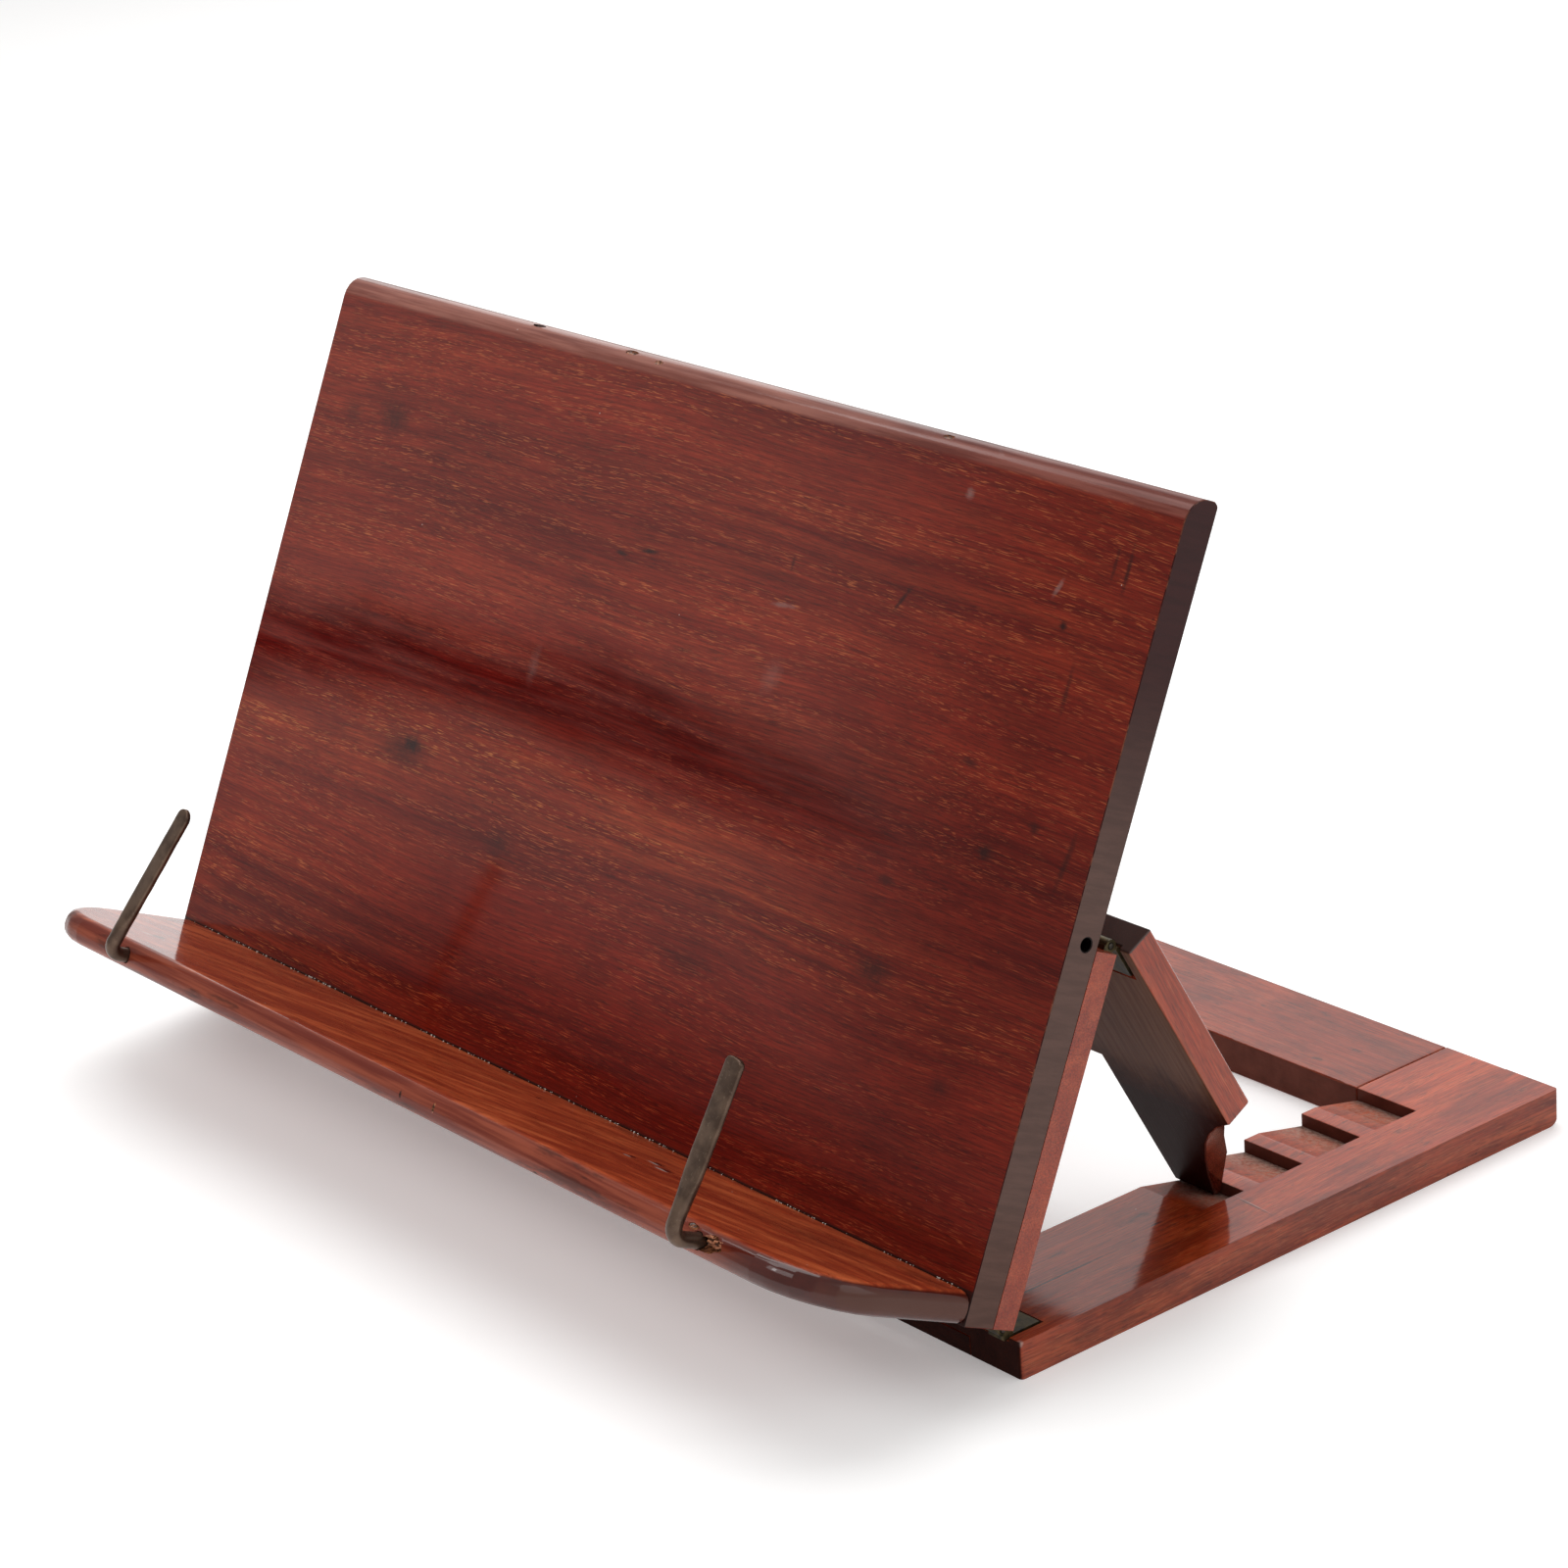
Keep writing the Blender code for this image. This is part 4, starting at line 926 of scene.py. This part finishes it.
def addBase():
    stripWood = woodMaterial("strip_wood", baseWood, alongY, marks=stripMarks,
                             tone=stripTone, ends=paintedFrontShade, dust=rampDust,
                             dull=frontDull)
    railFinish = woodMaterial("rail_wood", railWood, tone=railTone, ends=paintedFrontShade,
                              dull=frontDull)
    addRatchets(stripWood)
    for side, word in ((-1, "left"), (1, "right")):
        node = f"base_side_strip_{word}"
        low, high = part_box(node)
        inner = min(abs(low.x), abs(high.x)) + jointGap
        work = mergedNode(node)
        roundRearFoot(work, high.y, rearFoot)
        softenEdges(work, arrises["side"][0] * mm, test=lambda edge: any(
            abs(vert.co.x) > inner for vert in edge.verts))
        wornBoard(f"side_strip_{word}", work, stripWood, "base", node, "side",
                  7.0 + side, (yAxis, low.y, high.y))
    for word in ("front", "rear"):
        node = f"base_{word}_rail"
        low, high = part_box(node)
        work = mergedNode(node)
        if word == "rear":
            roundRearFoot(work, high.y, rearFoot)
        softenEdges(work, arrises["rail"][0] * mm)
        wornBoard(f"{word}_rail", work, railFinish, "base", node, "rail", 15.0,
                  (xAxis, low.x, high.x))


# Chips, nicks and the broken wood at the finger holes. Each is a rough lump cut out of
# its piece, in mm: its place along, up and through the slope, its size each way, whether
# bare wood shows, and where needed how ragged it is.
raggedness = 0.35
slopeBreaks = {
    "slope_board": [
        ((228.4, 92, 0.1), (1.9, 3.8, 1.4), False),
        ((228.4, 80, 0.2), (2.6, 3.2, 1.9), False),
        ((228.5, 32, 0.0), (1.4, 3.2, 1.3), False),
        ((228.5, 24, 0.1), (1.3, 2.0, 1.2), False),
        ((228.5, 146, 0.1), (1.3, 2.9, 1.2), False),
        ((228.5, 193, 0.0), (1.0, 1.7, 1.0), False),
        ((-228.5, 120, 0.2), (1.3, 3.8, 1.3), False),
        ((-228.5, 41, 0.1), (1.2, 2.6, 1.2), False),
        ((-55, 265.1, 3.4), (3.2, 1.3, 1.6), True),
        ((-38, 264.2, 2.0), (2.3, 1.2, 1.2), True),
        ((-112, 265.6, 4.6), (3.5, 1.0, 1.4), False),
        ((114, 265.0, 3.2), (2.6, 1.2, 1.4), True),
        ((140, 263.8, 1.6), (1.9, 1.0, 1.0), False),
        ((176, 266.4, 11.6), (3.8, 1.2, 2.0), False),
        ((-150, 266.3, 11.8), (4.3, 1.2, 1.9), False),
    ],
    "book_ledge": [
        ((173.6, 8.3, -66.6), (7.6, 2.4, 5.2), True, 0.5),
        ((179.2, 6.2, -66.4), (6.0, 3.0, 2.6), True, 0.7),
        ((168.3, 9.0, -66.2), (2.6, 1.3, 1.7), True, 0.6),
        ((-161.2, 6.6, -66.4), (3.2, 2.2, 2.4), False, 0.5),
        ((88, 0.6, -65.4), (1.8, 0.9, 0.9), False),
        ((-60, 10.2, -63.5), (2.4, 0.7, 1.0), True),
        ((-96, 1.2, -66.2), (1.4, 1.6, 0.6), False),
        ((31, 6.0, -66.9), (0.7, 2.2, 0.5), True),
        ((12, 4.6, -66.9), (0.6, 1.8, 0.5), False),
        ((-20, 2.6, -66.8), (0.6, 1.4, 0.5), False),
    ],
}


def lump(at, size, fresh, ragged, seed):
    # A rough ball, its faces marked with what it uncovers where it cuts
    work = bmesh.new()
    marks = {"rawWood": 1.0 if fresh else 0.0, "oldChip": 0.0 if fresh else 0.8,
             "edgeWear": 0.0}
    layers = {name: work.faces.layers.float.new(name) for name in marks}
    size, centre = Vector(size) * mm, Vector(at) * mm
    bmesh.ops.create_icosphere(work, subdivisions=2, radius=1.0)
    for vert in work.verts:
        jag = noise.noise(vert.co * 2.3 + Vector((seed, seed * 0.3, 0)))
        vert.co *= 1 + jag * ragged
        vert.co = onSlope(*(vert.co[i] * size[i] + centre[i] for i in range(3)))
    for face in work.faces:
        for name, value in marks.items():
            face[layers[name]] = value
    bmesh.ops.recalc_face_normals(work, faces=work.faces)
    return work


def breakAway(work, lumps, seed=5.0):
    for name in ("rawWood", "oldChip"):
        work.faces.layers.float.new(name)
    piece = pieceOf("unbroken", work)
    for number, (at, size, fresh, *ragged) in enumerate(lumps):
        cutAway(piece, lump(at, size, fresh, *(ragged or [raggedness]),
                            seed + number * 3.1))
    return workOf(piece)


def addSlope():
    finishes = {
        "slope_board": ("reading_board", woodMaterial(
            "board_wood", boardWood, slopeTurn, slopeShift, boardMarks, boardTone,
            boardEnds, dull=boardDull)),
        "slope_back_panel": ("back_panel", woodMaterial(
            "panel_wood", panelWood, slopeTurn, slopeShift)),
        "book_ledge": ("book_ledge_rounded", woodMaterial(
            "ledge_wood", ledgeWood, slopeTurn, slopeShift, ledgeMarks, ledgeTone,
            dull=ledgeDull)),
    }

    def apartFromJoint(edge):
        # The board and the panel keep crisp edges where they meet
        return any(abs((vert.co - slopeCorner).dot(throughSlope) - stand["boardThick"])
                   > 0.5 * mm for vert in edge.verts)

    for node, (name, finish) in finishes.items():
        work = mergedNode(node)
        softenEdges(work, arrises[node][0] * mm, test=apartFromJoint)
        wornBoard(name, work, finish, "slope", node, node, 2.0 + len(node),
                  lumps=slopeBreaks.get(node, ()))


def addProp():
    finish = woodMaterial("prop_wood", propWood, propTurn, propShift, ends=propEnds,
                          dull=propDull)
    work = mergedNode("prop")
    softenEdges(work, arrises["prop"][0] * mm)
    wornBoard("prop_frame", work, finish, "prop", "prop", "prop", 31.0)


ironLook = {"dark": (0.080, 0.050, 0.036), "middle": (0.145, 0.094, 0.066),
            "bright": (0.40, 0.30, 0.22), "coarse": 110.0, "fine": 900.0,
            "wornShare": 0.22, "metallic": 0.85, "rough": 0.36}
brassLook = {"dark": (0.030, 0.028, 0.018), "middle": (0.115, 0.088, 0.042),
             "bright": (0.42, 0.31, 0.14), "coarse": 180.0, "fine": 1200.0,
             "wornShare": 0.20, "metallic": 0.9, "rough": 0.45}
steelLook = {"dark": (0.045, 0.038, 0.030), "middle": (0.150, 0.130, 0.110),
             "bright": (0.45, 0.42, 0.38), "coarse": 260.0, "fine": 1500.0,
             "wornShare": 0.25, "metallic": 0.9, "rough": 0.40}


def metalMaterial(name, look):
    # Old metal: patches of tarnish, bright where it is rubbed
    metal = Finish(name)
    coarse = metal.noise(look["coarse"], 4, 0.6)
    fine = metal.noise(look["fine"], 3, 0.6)
    metal.colour = metal.mix(metal.remap(coarse, 0.35, 0.65), look["dark"],
                             look["middle"])
    worn = metal.remap(fine, 0.60, 0.72)
    metal.cover(metal.times(worn, look["wornShare"]), look["bright"])
    rubbed = metal.times(metal.attribute("edgeWear"),
                         metal.remap(coarse, 0.3, 0.6, 0.35, 0.95))
    metal.cover(rubbed, look["bright"])
    return metal.done({
        "Metallic": look["metallic"],
        "Roughness": metal.timesPlus(coarse, 0.25, look["rough"] - 0.12),
        "Normal": metal.bump(0.25, 0.00015, metal.timesPlus(fine, 0.5, coarse))})


# The body that each hinge leaf rides on
hingeLeaves = {
    "base_hinge_lower_leaf": "base", "base_hinge_upper_leaf": "slope",
    "prop_hinge_upper_leaf": "slope", "prop_hinge_lower_leaf": "prop",
}
leafEdge = 0.14 * mm


def addHinges(steel):
    brass = metalMaterial("aged_brass", brassLook)
    for leaf, body in hingeLeaves.items():
        for word in ("left", "right"):
            node = f"{leaf}_{word}"
            work = mergedNode(node)
            softenEdges(work, leafEdge, 2)
            wornPiece(f"{node}_worn", work, brass, body, node, slotName="brass")
    for node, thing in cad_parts.items():
        if "hinge_pin" in node:
            thing.data.materials.clear()
            thing.data.materials.append(steel)


# Screws, by a tree that sets a slotted screw on every point
screwKinds = {
    "hinge": {"Head Radius": 2.4 * mm, "Head Depth": 1.2 * mm, "Shank Radius": 1.2 * mm,
              "Length": 8.2 * mm, "Slot Width": 0.55 * mm, "Slot Depth": 0.55 * mm},
    "ledge": {"Head Radius": 3.4 * mm, "Head Depth": 2.0 * mm, "Shank Radius": 1.7 * mm,
              "Length": 32.0 * mm, "Slot Width": 0.8 * mm, "Slot Depth": 0.8 * mm},
}
screwPoint = 0.2 * mm
screwAxes = {"base_hinge_lower_leaf": zAxis, "base_hinge_upper_leaf": throughSlope,
             "prop_hinge_upper_leaf": throughSlope, "prop_hinge_lower_leaf": -throughProp,
             "ledge_screw": throughSlope}
slotTurns = {"first": 37, "each": 71}


def screwTree(material):
    # Head with a slot and a tapering shank, set on every point along its axis
    screws = Builder("slotted_screws", screwKinds["hinge"], True)
    headRadius, headDepth, shankRadius, length, slotWidth, slotDepth = (
        screws.given[label] for label in screwKinds["hinge"])
    made, times = screws.made, screws.times

    def cone(sides, bottom, top, depth, lowered):
        shape = screws.add("GeometryNodeMeshCone", {
            "Vertices": sides, "Radius Bottom": bottom, "Radius Top": top,
            "Depth": depth}).outputs["Mesh"]
        return made("GeometryNodeTransform", {
            "Geometry": shape, "Translation": screws.xyz(z=times(lowered, -1.0))})

    head = cone(24, shankRadius, headRadius, headDepth, headDepth)
    size = screws.xyz(times(headRadius, 2.4), slotWidth, times(slotDepth, 2.0))
    blade = screws.add("GeometryNodeMeshCube", {"Size": size}).outputs["Mesh"]
    slotted = made("GeometryNodeMeshBoolean", {"Mesh 1": head, "Mesh 2": blade},
                   operation="DIFFERENCE", solver="EXACT")
    shank = cone(12, screwPoint, shankRadius, screws.minus(length, headDepth), length)
    whole = made("GeometryNodeJoinGeometry", {0: [slotted, shank]})
    aim = made("FunctionNodeAlignRotationToVector",
               {"Vector": screws.named("axis", "FLOAT_VECTOR")}, axis="Z")
    spin = made("FunctionNodeAxisAngleToRotation",
                {"Axis": (0, 0, 1), "Angle": screws.named("slotTurn", "FLOAT")})
    turned = made("FunctionNodeRotateRotation", {0: aim, 1: spin}, rotation_space="LOCAL")
    screws.finish(screws.onPoints(screws.given["Geometry"], whole, Rotation=turned),
                  material)
    return screws


def headPoint(node, axis):
    # The middle of a screw's head, which is the CAD screw's far end along its axis
    corners = [vert.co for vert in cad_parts[node].data.vertices]
    top = max(corner.dot(axis) for corner in corners)
    face = [corner for corner in corners if corner.dot(axis) > top - 0.02 * mm]
    unique = {tuple(round(part, 6) for part in corner) for corner in face}
    return sum((Vector(corner) for corner in unique), Vector()) / len(unique)


def addScrews(steel):
    tree = screwTree(steel)
    groups = {}
    for node in sorted(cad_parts):
        for start, axis in screwAxes.items():
            if node.startswith(start) and "screw" in node:
                kind = "ledge" if start == "ledge_screw" else "hinge"
                body = hingeLeaves.get(start, "slope")
                groups.setdefault((body, kind), []).append((node, axis))
    for (body, kind), screws in groups.items():
        name = f"{body}_{kind}_screws"
        mesh = bpy.data.meshes.new(name)
        mesh.from_pydata([headPoint(node, axis) for node, axis in screws], [], [])
        mesh.attributes.new("axis", "FLOAT_VECTOR", "POINT")
        mesh.attributes.new("slotTurn", "FLOAT", "POINT")
        for index, (node, axis) in enumerate(screws):
            mesh.attributes["axis"].data[index].vector = axis
            mesh.attributes["slotTurn"].data[index].value = math.radians(
                slotTurns["first"] + slotTurns["each"] * index)
        onBody(tree.run(name, screwKinds[kind], mesh), body, "steel",
               *[node for node, _ in screws])


# Page fingers: wrought rods, bent up and hammered flat towards the tip
fingers = {
    "left": {"side": -1, "endInset": 64.1 * mm, "bladeWidth": 6.8 * mm,
             "standOff": 7.4 * mm, "length": 64.5 * mm, "backLean": 1.5, "swivel": -22.0,
             "tip": 3.4 * mm, "tipPower": 1.0, "shoulder": 20.0 * mm},
    "right": {"side": 1, "endInset": 56.1 * mm, "bladeWidth": 8.0 * mm,
              "standOff": 11.2 * mm, "length": 60.8 * mm, "backLean": 0.5, "swivel": -7.6,
              "tip": 3.0 * mm, "tipPower": 0.62, "shoulder": 18.0 * mm},
}
rod = {"radius": 2.7 * mm, "buried": 24.0 * mm, "bend": 5.2 * mm, "bladeThick": 2.6 * mm,
       "sides": 28, "shankRings": 6, "bendRings": 12, "bladeRings": 44, "tipRings": 9,
       "beat": 0.09 * mm, "thinning": 0.12 * mm}


def smooth(low, high, value):
    share = min(1.0, max(0.0, (value - low) / (high - low)))
    return share * share * (3 - 2 * share)


def fingerPath(finger):
    # Centre, direction and distance along the blade of each ring: up the round shank,
    # round the bend and along the blade, where they close up towards the tip
    turnAll = math.pi / 2 + math.radians(finger["backLean"])
    bendStart = finger["standOff"] - rod["bend"]
    path = []
    for step in range(rod["shankRings"] + 1):
        out = -rod["buried"] + (bendStart + rod["buried"]) * step / rod["shankRings"]
        path.append((Vector((0, 0, out)), Vector((0, 0, 1)), 0.0))
    for step in range(1, rod["bendRings"] + 1):
        turn = turnAll * step / rod["bendRings"]
        centre = Vector((0, rod["bend"] * (1 - math.cos(turn)),
                         bendStart + rod["bend"] * math.sin(turn)))
        path.append((centre, Vector((0, math.sin(turn), math.cos(turn))), 0.0))
    root, along, _ = path[-1]
    tipStart = finger["length"] - rod["bend"] - finger["tip"]
    runs = [tipStart * step / rod["bladeRings"]
            for step in range(1, rod["bladeRings"] + 1)]
    runs += [tipStart + finger["tip"] * math.sin(math.pi / 2 * step / rod["tipRings"])
             for step in range(1, rod["tipRings"] + 1)]
    return path + [(root + along * run, along, run) for run in runs], tipStart


def fingerWork(finger):
    # A forged finger, from rings of points that flatten into the blade
    path, tipStart = fingerPath(finger)
    work = bmesh.new()
    rings = []
    for centre, direction, run in path:
        flat = smooth(2 * mm, finger["shoulder"], run)
        wide = rod["radius"] + (finger["bladeWidth"] / 2 - rod["radius"]) * flat
        deep = rod["radius"] + (rod["bladeThick"] / 2 - rod["radius"]) * flat
        deep -= rod["thinning"] * smooth(finger["shoulder"],
                                         finger["length"] - rod["bend"], run)
        inTip = max(0.0, (run - tipStart) / finger["tip"])
        shrink = (1 - min(inTip, 0.9999) ** (2 / finger["tipPower"])) ** (
            finger["tipPower"] / 2)
        wide *= max(shrink, 0.05)
        deep *= 0.45 + 0.55 * max(shrink, 0.0)
        power = 1.0 - 0.55 * flat
        thickWay = direction.cross(xAxis)
        ring = []
        for side in range(rod["sides"]):
            angle = math.tau * side / rod["sides"]
            c, s = math.cos(angle), math.sin(angle)
            across = math.copysign(abs(c) ** power, c) * wide
            through = math.copysign(abs(s) ** power, s) * deep
            spot = centre + xAxis * across + thickWay * through
            if run > 0 and inTip < 0.8:
                beat = noise.noise(spot * 160 + Vector((finger["side"] * 9, 0, 0)))
                beat += 0.5 * noise.noise(spot * 420)
                spot += (spot - centre).normalized() * beat * rod["beat"]
            ring.append(work.verts.new(spot))
        rings.append(ring)
    for low, high in zip(rings, rings[1:]):
        for side in range(rod["sides"]):
            after = (side + 1) % rod["sides"]
            work.faces.new((low[side], low[after], high[after], high[side]))
    work.faces.new(rings[0])
    work.faces.new(rings[-1])
    bmesh.ops.recalc_face_normals(work, faces=work.faces)
    return work


def addFingers():
    iron = metalMaterial("wrought_iron", ironLook)
    turn = Matrix((xAxis, upSlope, -throughSlope)).transposed().to_4x4()
    for word, finger in fingers.items():
        origin = onSlope(finger["side"] * (halfWidth - finger["endInset"]),
                         stand["ledgeThick"] / 2, -stand["ledgeDepth"])
        place = Matrix.Translation(origin) @ turn @ Matrix.Rotation(
            math.radians(finger["swivel"]), 4, "Z")
        work = fingerWork(finger)
        bmesh.ops.transform(work, matrix=place, verts=work.verts)
        work.faces.layers.float.new("edgeWear")
        piece = pieceOf(f"wrought_finger_{word}", work, iron)
        piece.data.shade_smooth()
        onBody(piece, f"{word}_finger", "iron", f"page_finger_{word}")


# Loose bits, by a tree that scatters small ragged grains through a box: dust caught
# along the board's joint, and torn splinters in the broken finger holes
crumbs = {
    "joint_dust": {"Count": 190, "Seed": 4, "Length": 446 * mm, "Depth": 1.0 * mm,
                   "Height": 0.3 * mm, "Size": 0.30 * mm, "Slender": 1.3},
    "torn_splinters_right": {"Count": 34, "Seed": 9, "Length": 9.0 * mm,
                             "Depth": 2.0 * mm, "Height": 3.2 * mm, "Size": 0.55 * mm,
                             "Slender": 3.0},
    "torn_splinters_left": {"Count": 7, "Seed": 15, "Length": 2.6 * mm,
                            "Depth": 1.0 * mm, "Height": 1.4 * mm, "Size": 0.28 * mm,
                            "Slender": 2.6},
}
# Where each starts, in mm on the slope: along, up, through
crumbStarts = {"joint_dust": (-222, 10.72, -0.8),
               "torn_splinters_right": (176.4, 5.6, -66.6),
               "torn_splinters_left": (-160.9, 6.2, -65.6)}
# Pale and dark colour, and how fine the grain is
grains = {"pale_dust": ((0.80, 0.74, 0.68), (0.45, 0.38, 0.33), 2400.0),
          "torn_wood": ((0.60, 0.25, 0.12), (0.20, 0.055, 0.025), 1800.0)}


def crumbTree(material):
    tree = Builder("scattered_grains", crumbs["joint_dust"])
    count, seed, length, depth, height, size, slender = (
        tree.given[label] for label in crumbs["joint_dust"])

    def chance(low, high, shift, flat=False):
        kind, first = ("FLOAT", 2) if flat else ("FLOAT_VECTOR", 0)
        own = tree.plus(seed, shift)
        node = tree.add("FunctionNodeRandomValue", {first: low, first + 1: high, 8: own},
                        data_type=kind)
        return node.outputs[1 if flat else 0]

    dots = tree.made("GeometryNodePoints", {
        "Count": count, "Position": chance((0, 0, 0), tree.xyz(length, depth, height), 0)})
    grain = tree.add("GeometryNodeMeshIcoSphere", {
        "Radius": size, "Subdivisions": 1}).outputs["Mesh"]
    stretch = tree.made("ShaderNodeVectorMath", {
        0: tree.xyz(slender, 0.9, 0.7), 3: chance(0.35, 1.0, 1, flat=True)},
        operation="SCALE")
    turn = chance((-0.5, -0.4, -0.4), (0.5, 0.4, 0.4), 2)
    tree.finish(tree.onPoints(dots, grain, Scale=stretch, Rotation=turn), material)
    return tree


def grainMaterial(name):
    pale, dark, scale = grains[name]
    grain = Finish(name)
    speck = grain.noise(scale, 4, 0.65, grain.scaled(grain.place, (0.3, 1, 1)))
    grain.colour = grain.mix(grain.remap(speck, 0.35, 0.65), dark, pale)
    return grain.done({"Roughness": grain.remap(speck, 0.3, 0.7, 0.70, 0.95),
                       "Normal": grain.bump(0.5, 0.0002, speck)})


def addCrumbs():
    dust, torn = grainMaterial("pale_dust"), grainMaterial("torn_wood")
    turn = Matrix((xAxis, throughSlope, upSlope)).transposed().to_4x4()
    for name, sizes in crumbs.items():
        piece = crumbTree(dust if "dust" in name else torn).run(name, sizes)
        start = onSlope(*(part * mm for part in crumbStarts[name]))
        piece.data.transform(Matrix.Translation(start) @ turn)
        onBody(piece, "slope", "mahogany")


addCamera()
addStudio()
print("camera, floor and lights in place")
addBase()
print("base built")
addSlope()
print("board, panel and ledge built")
addProp()
oldSteel = metalMaterial("old_steel", steelLook)
addHinges(oldSteel)
addScrews(oldSteel)
print("prop, hinges and screws built")
addFingers()
print("page fingers built")
addCrumbs()
print("dust and splinters scattered")
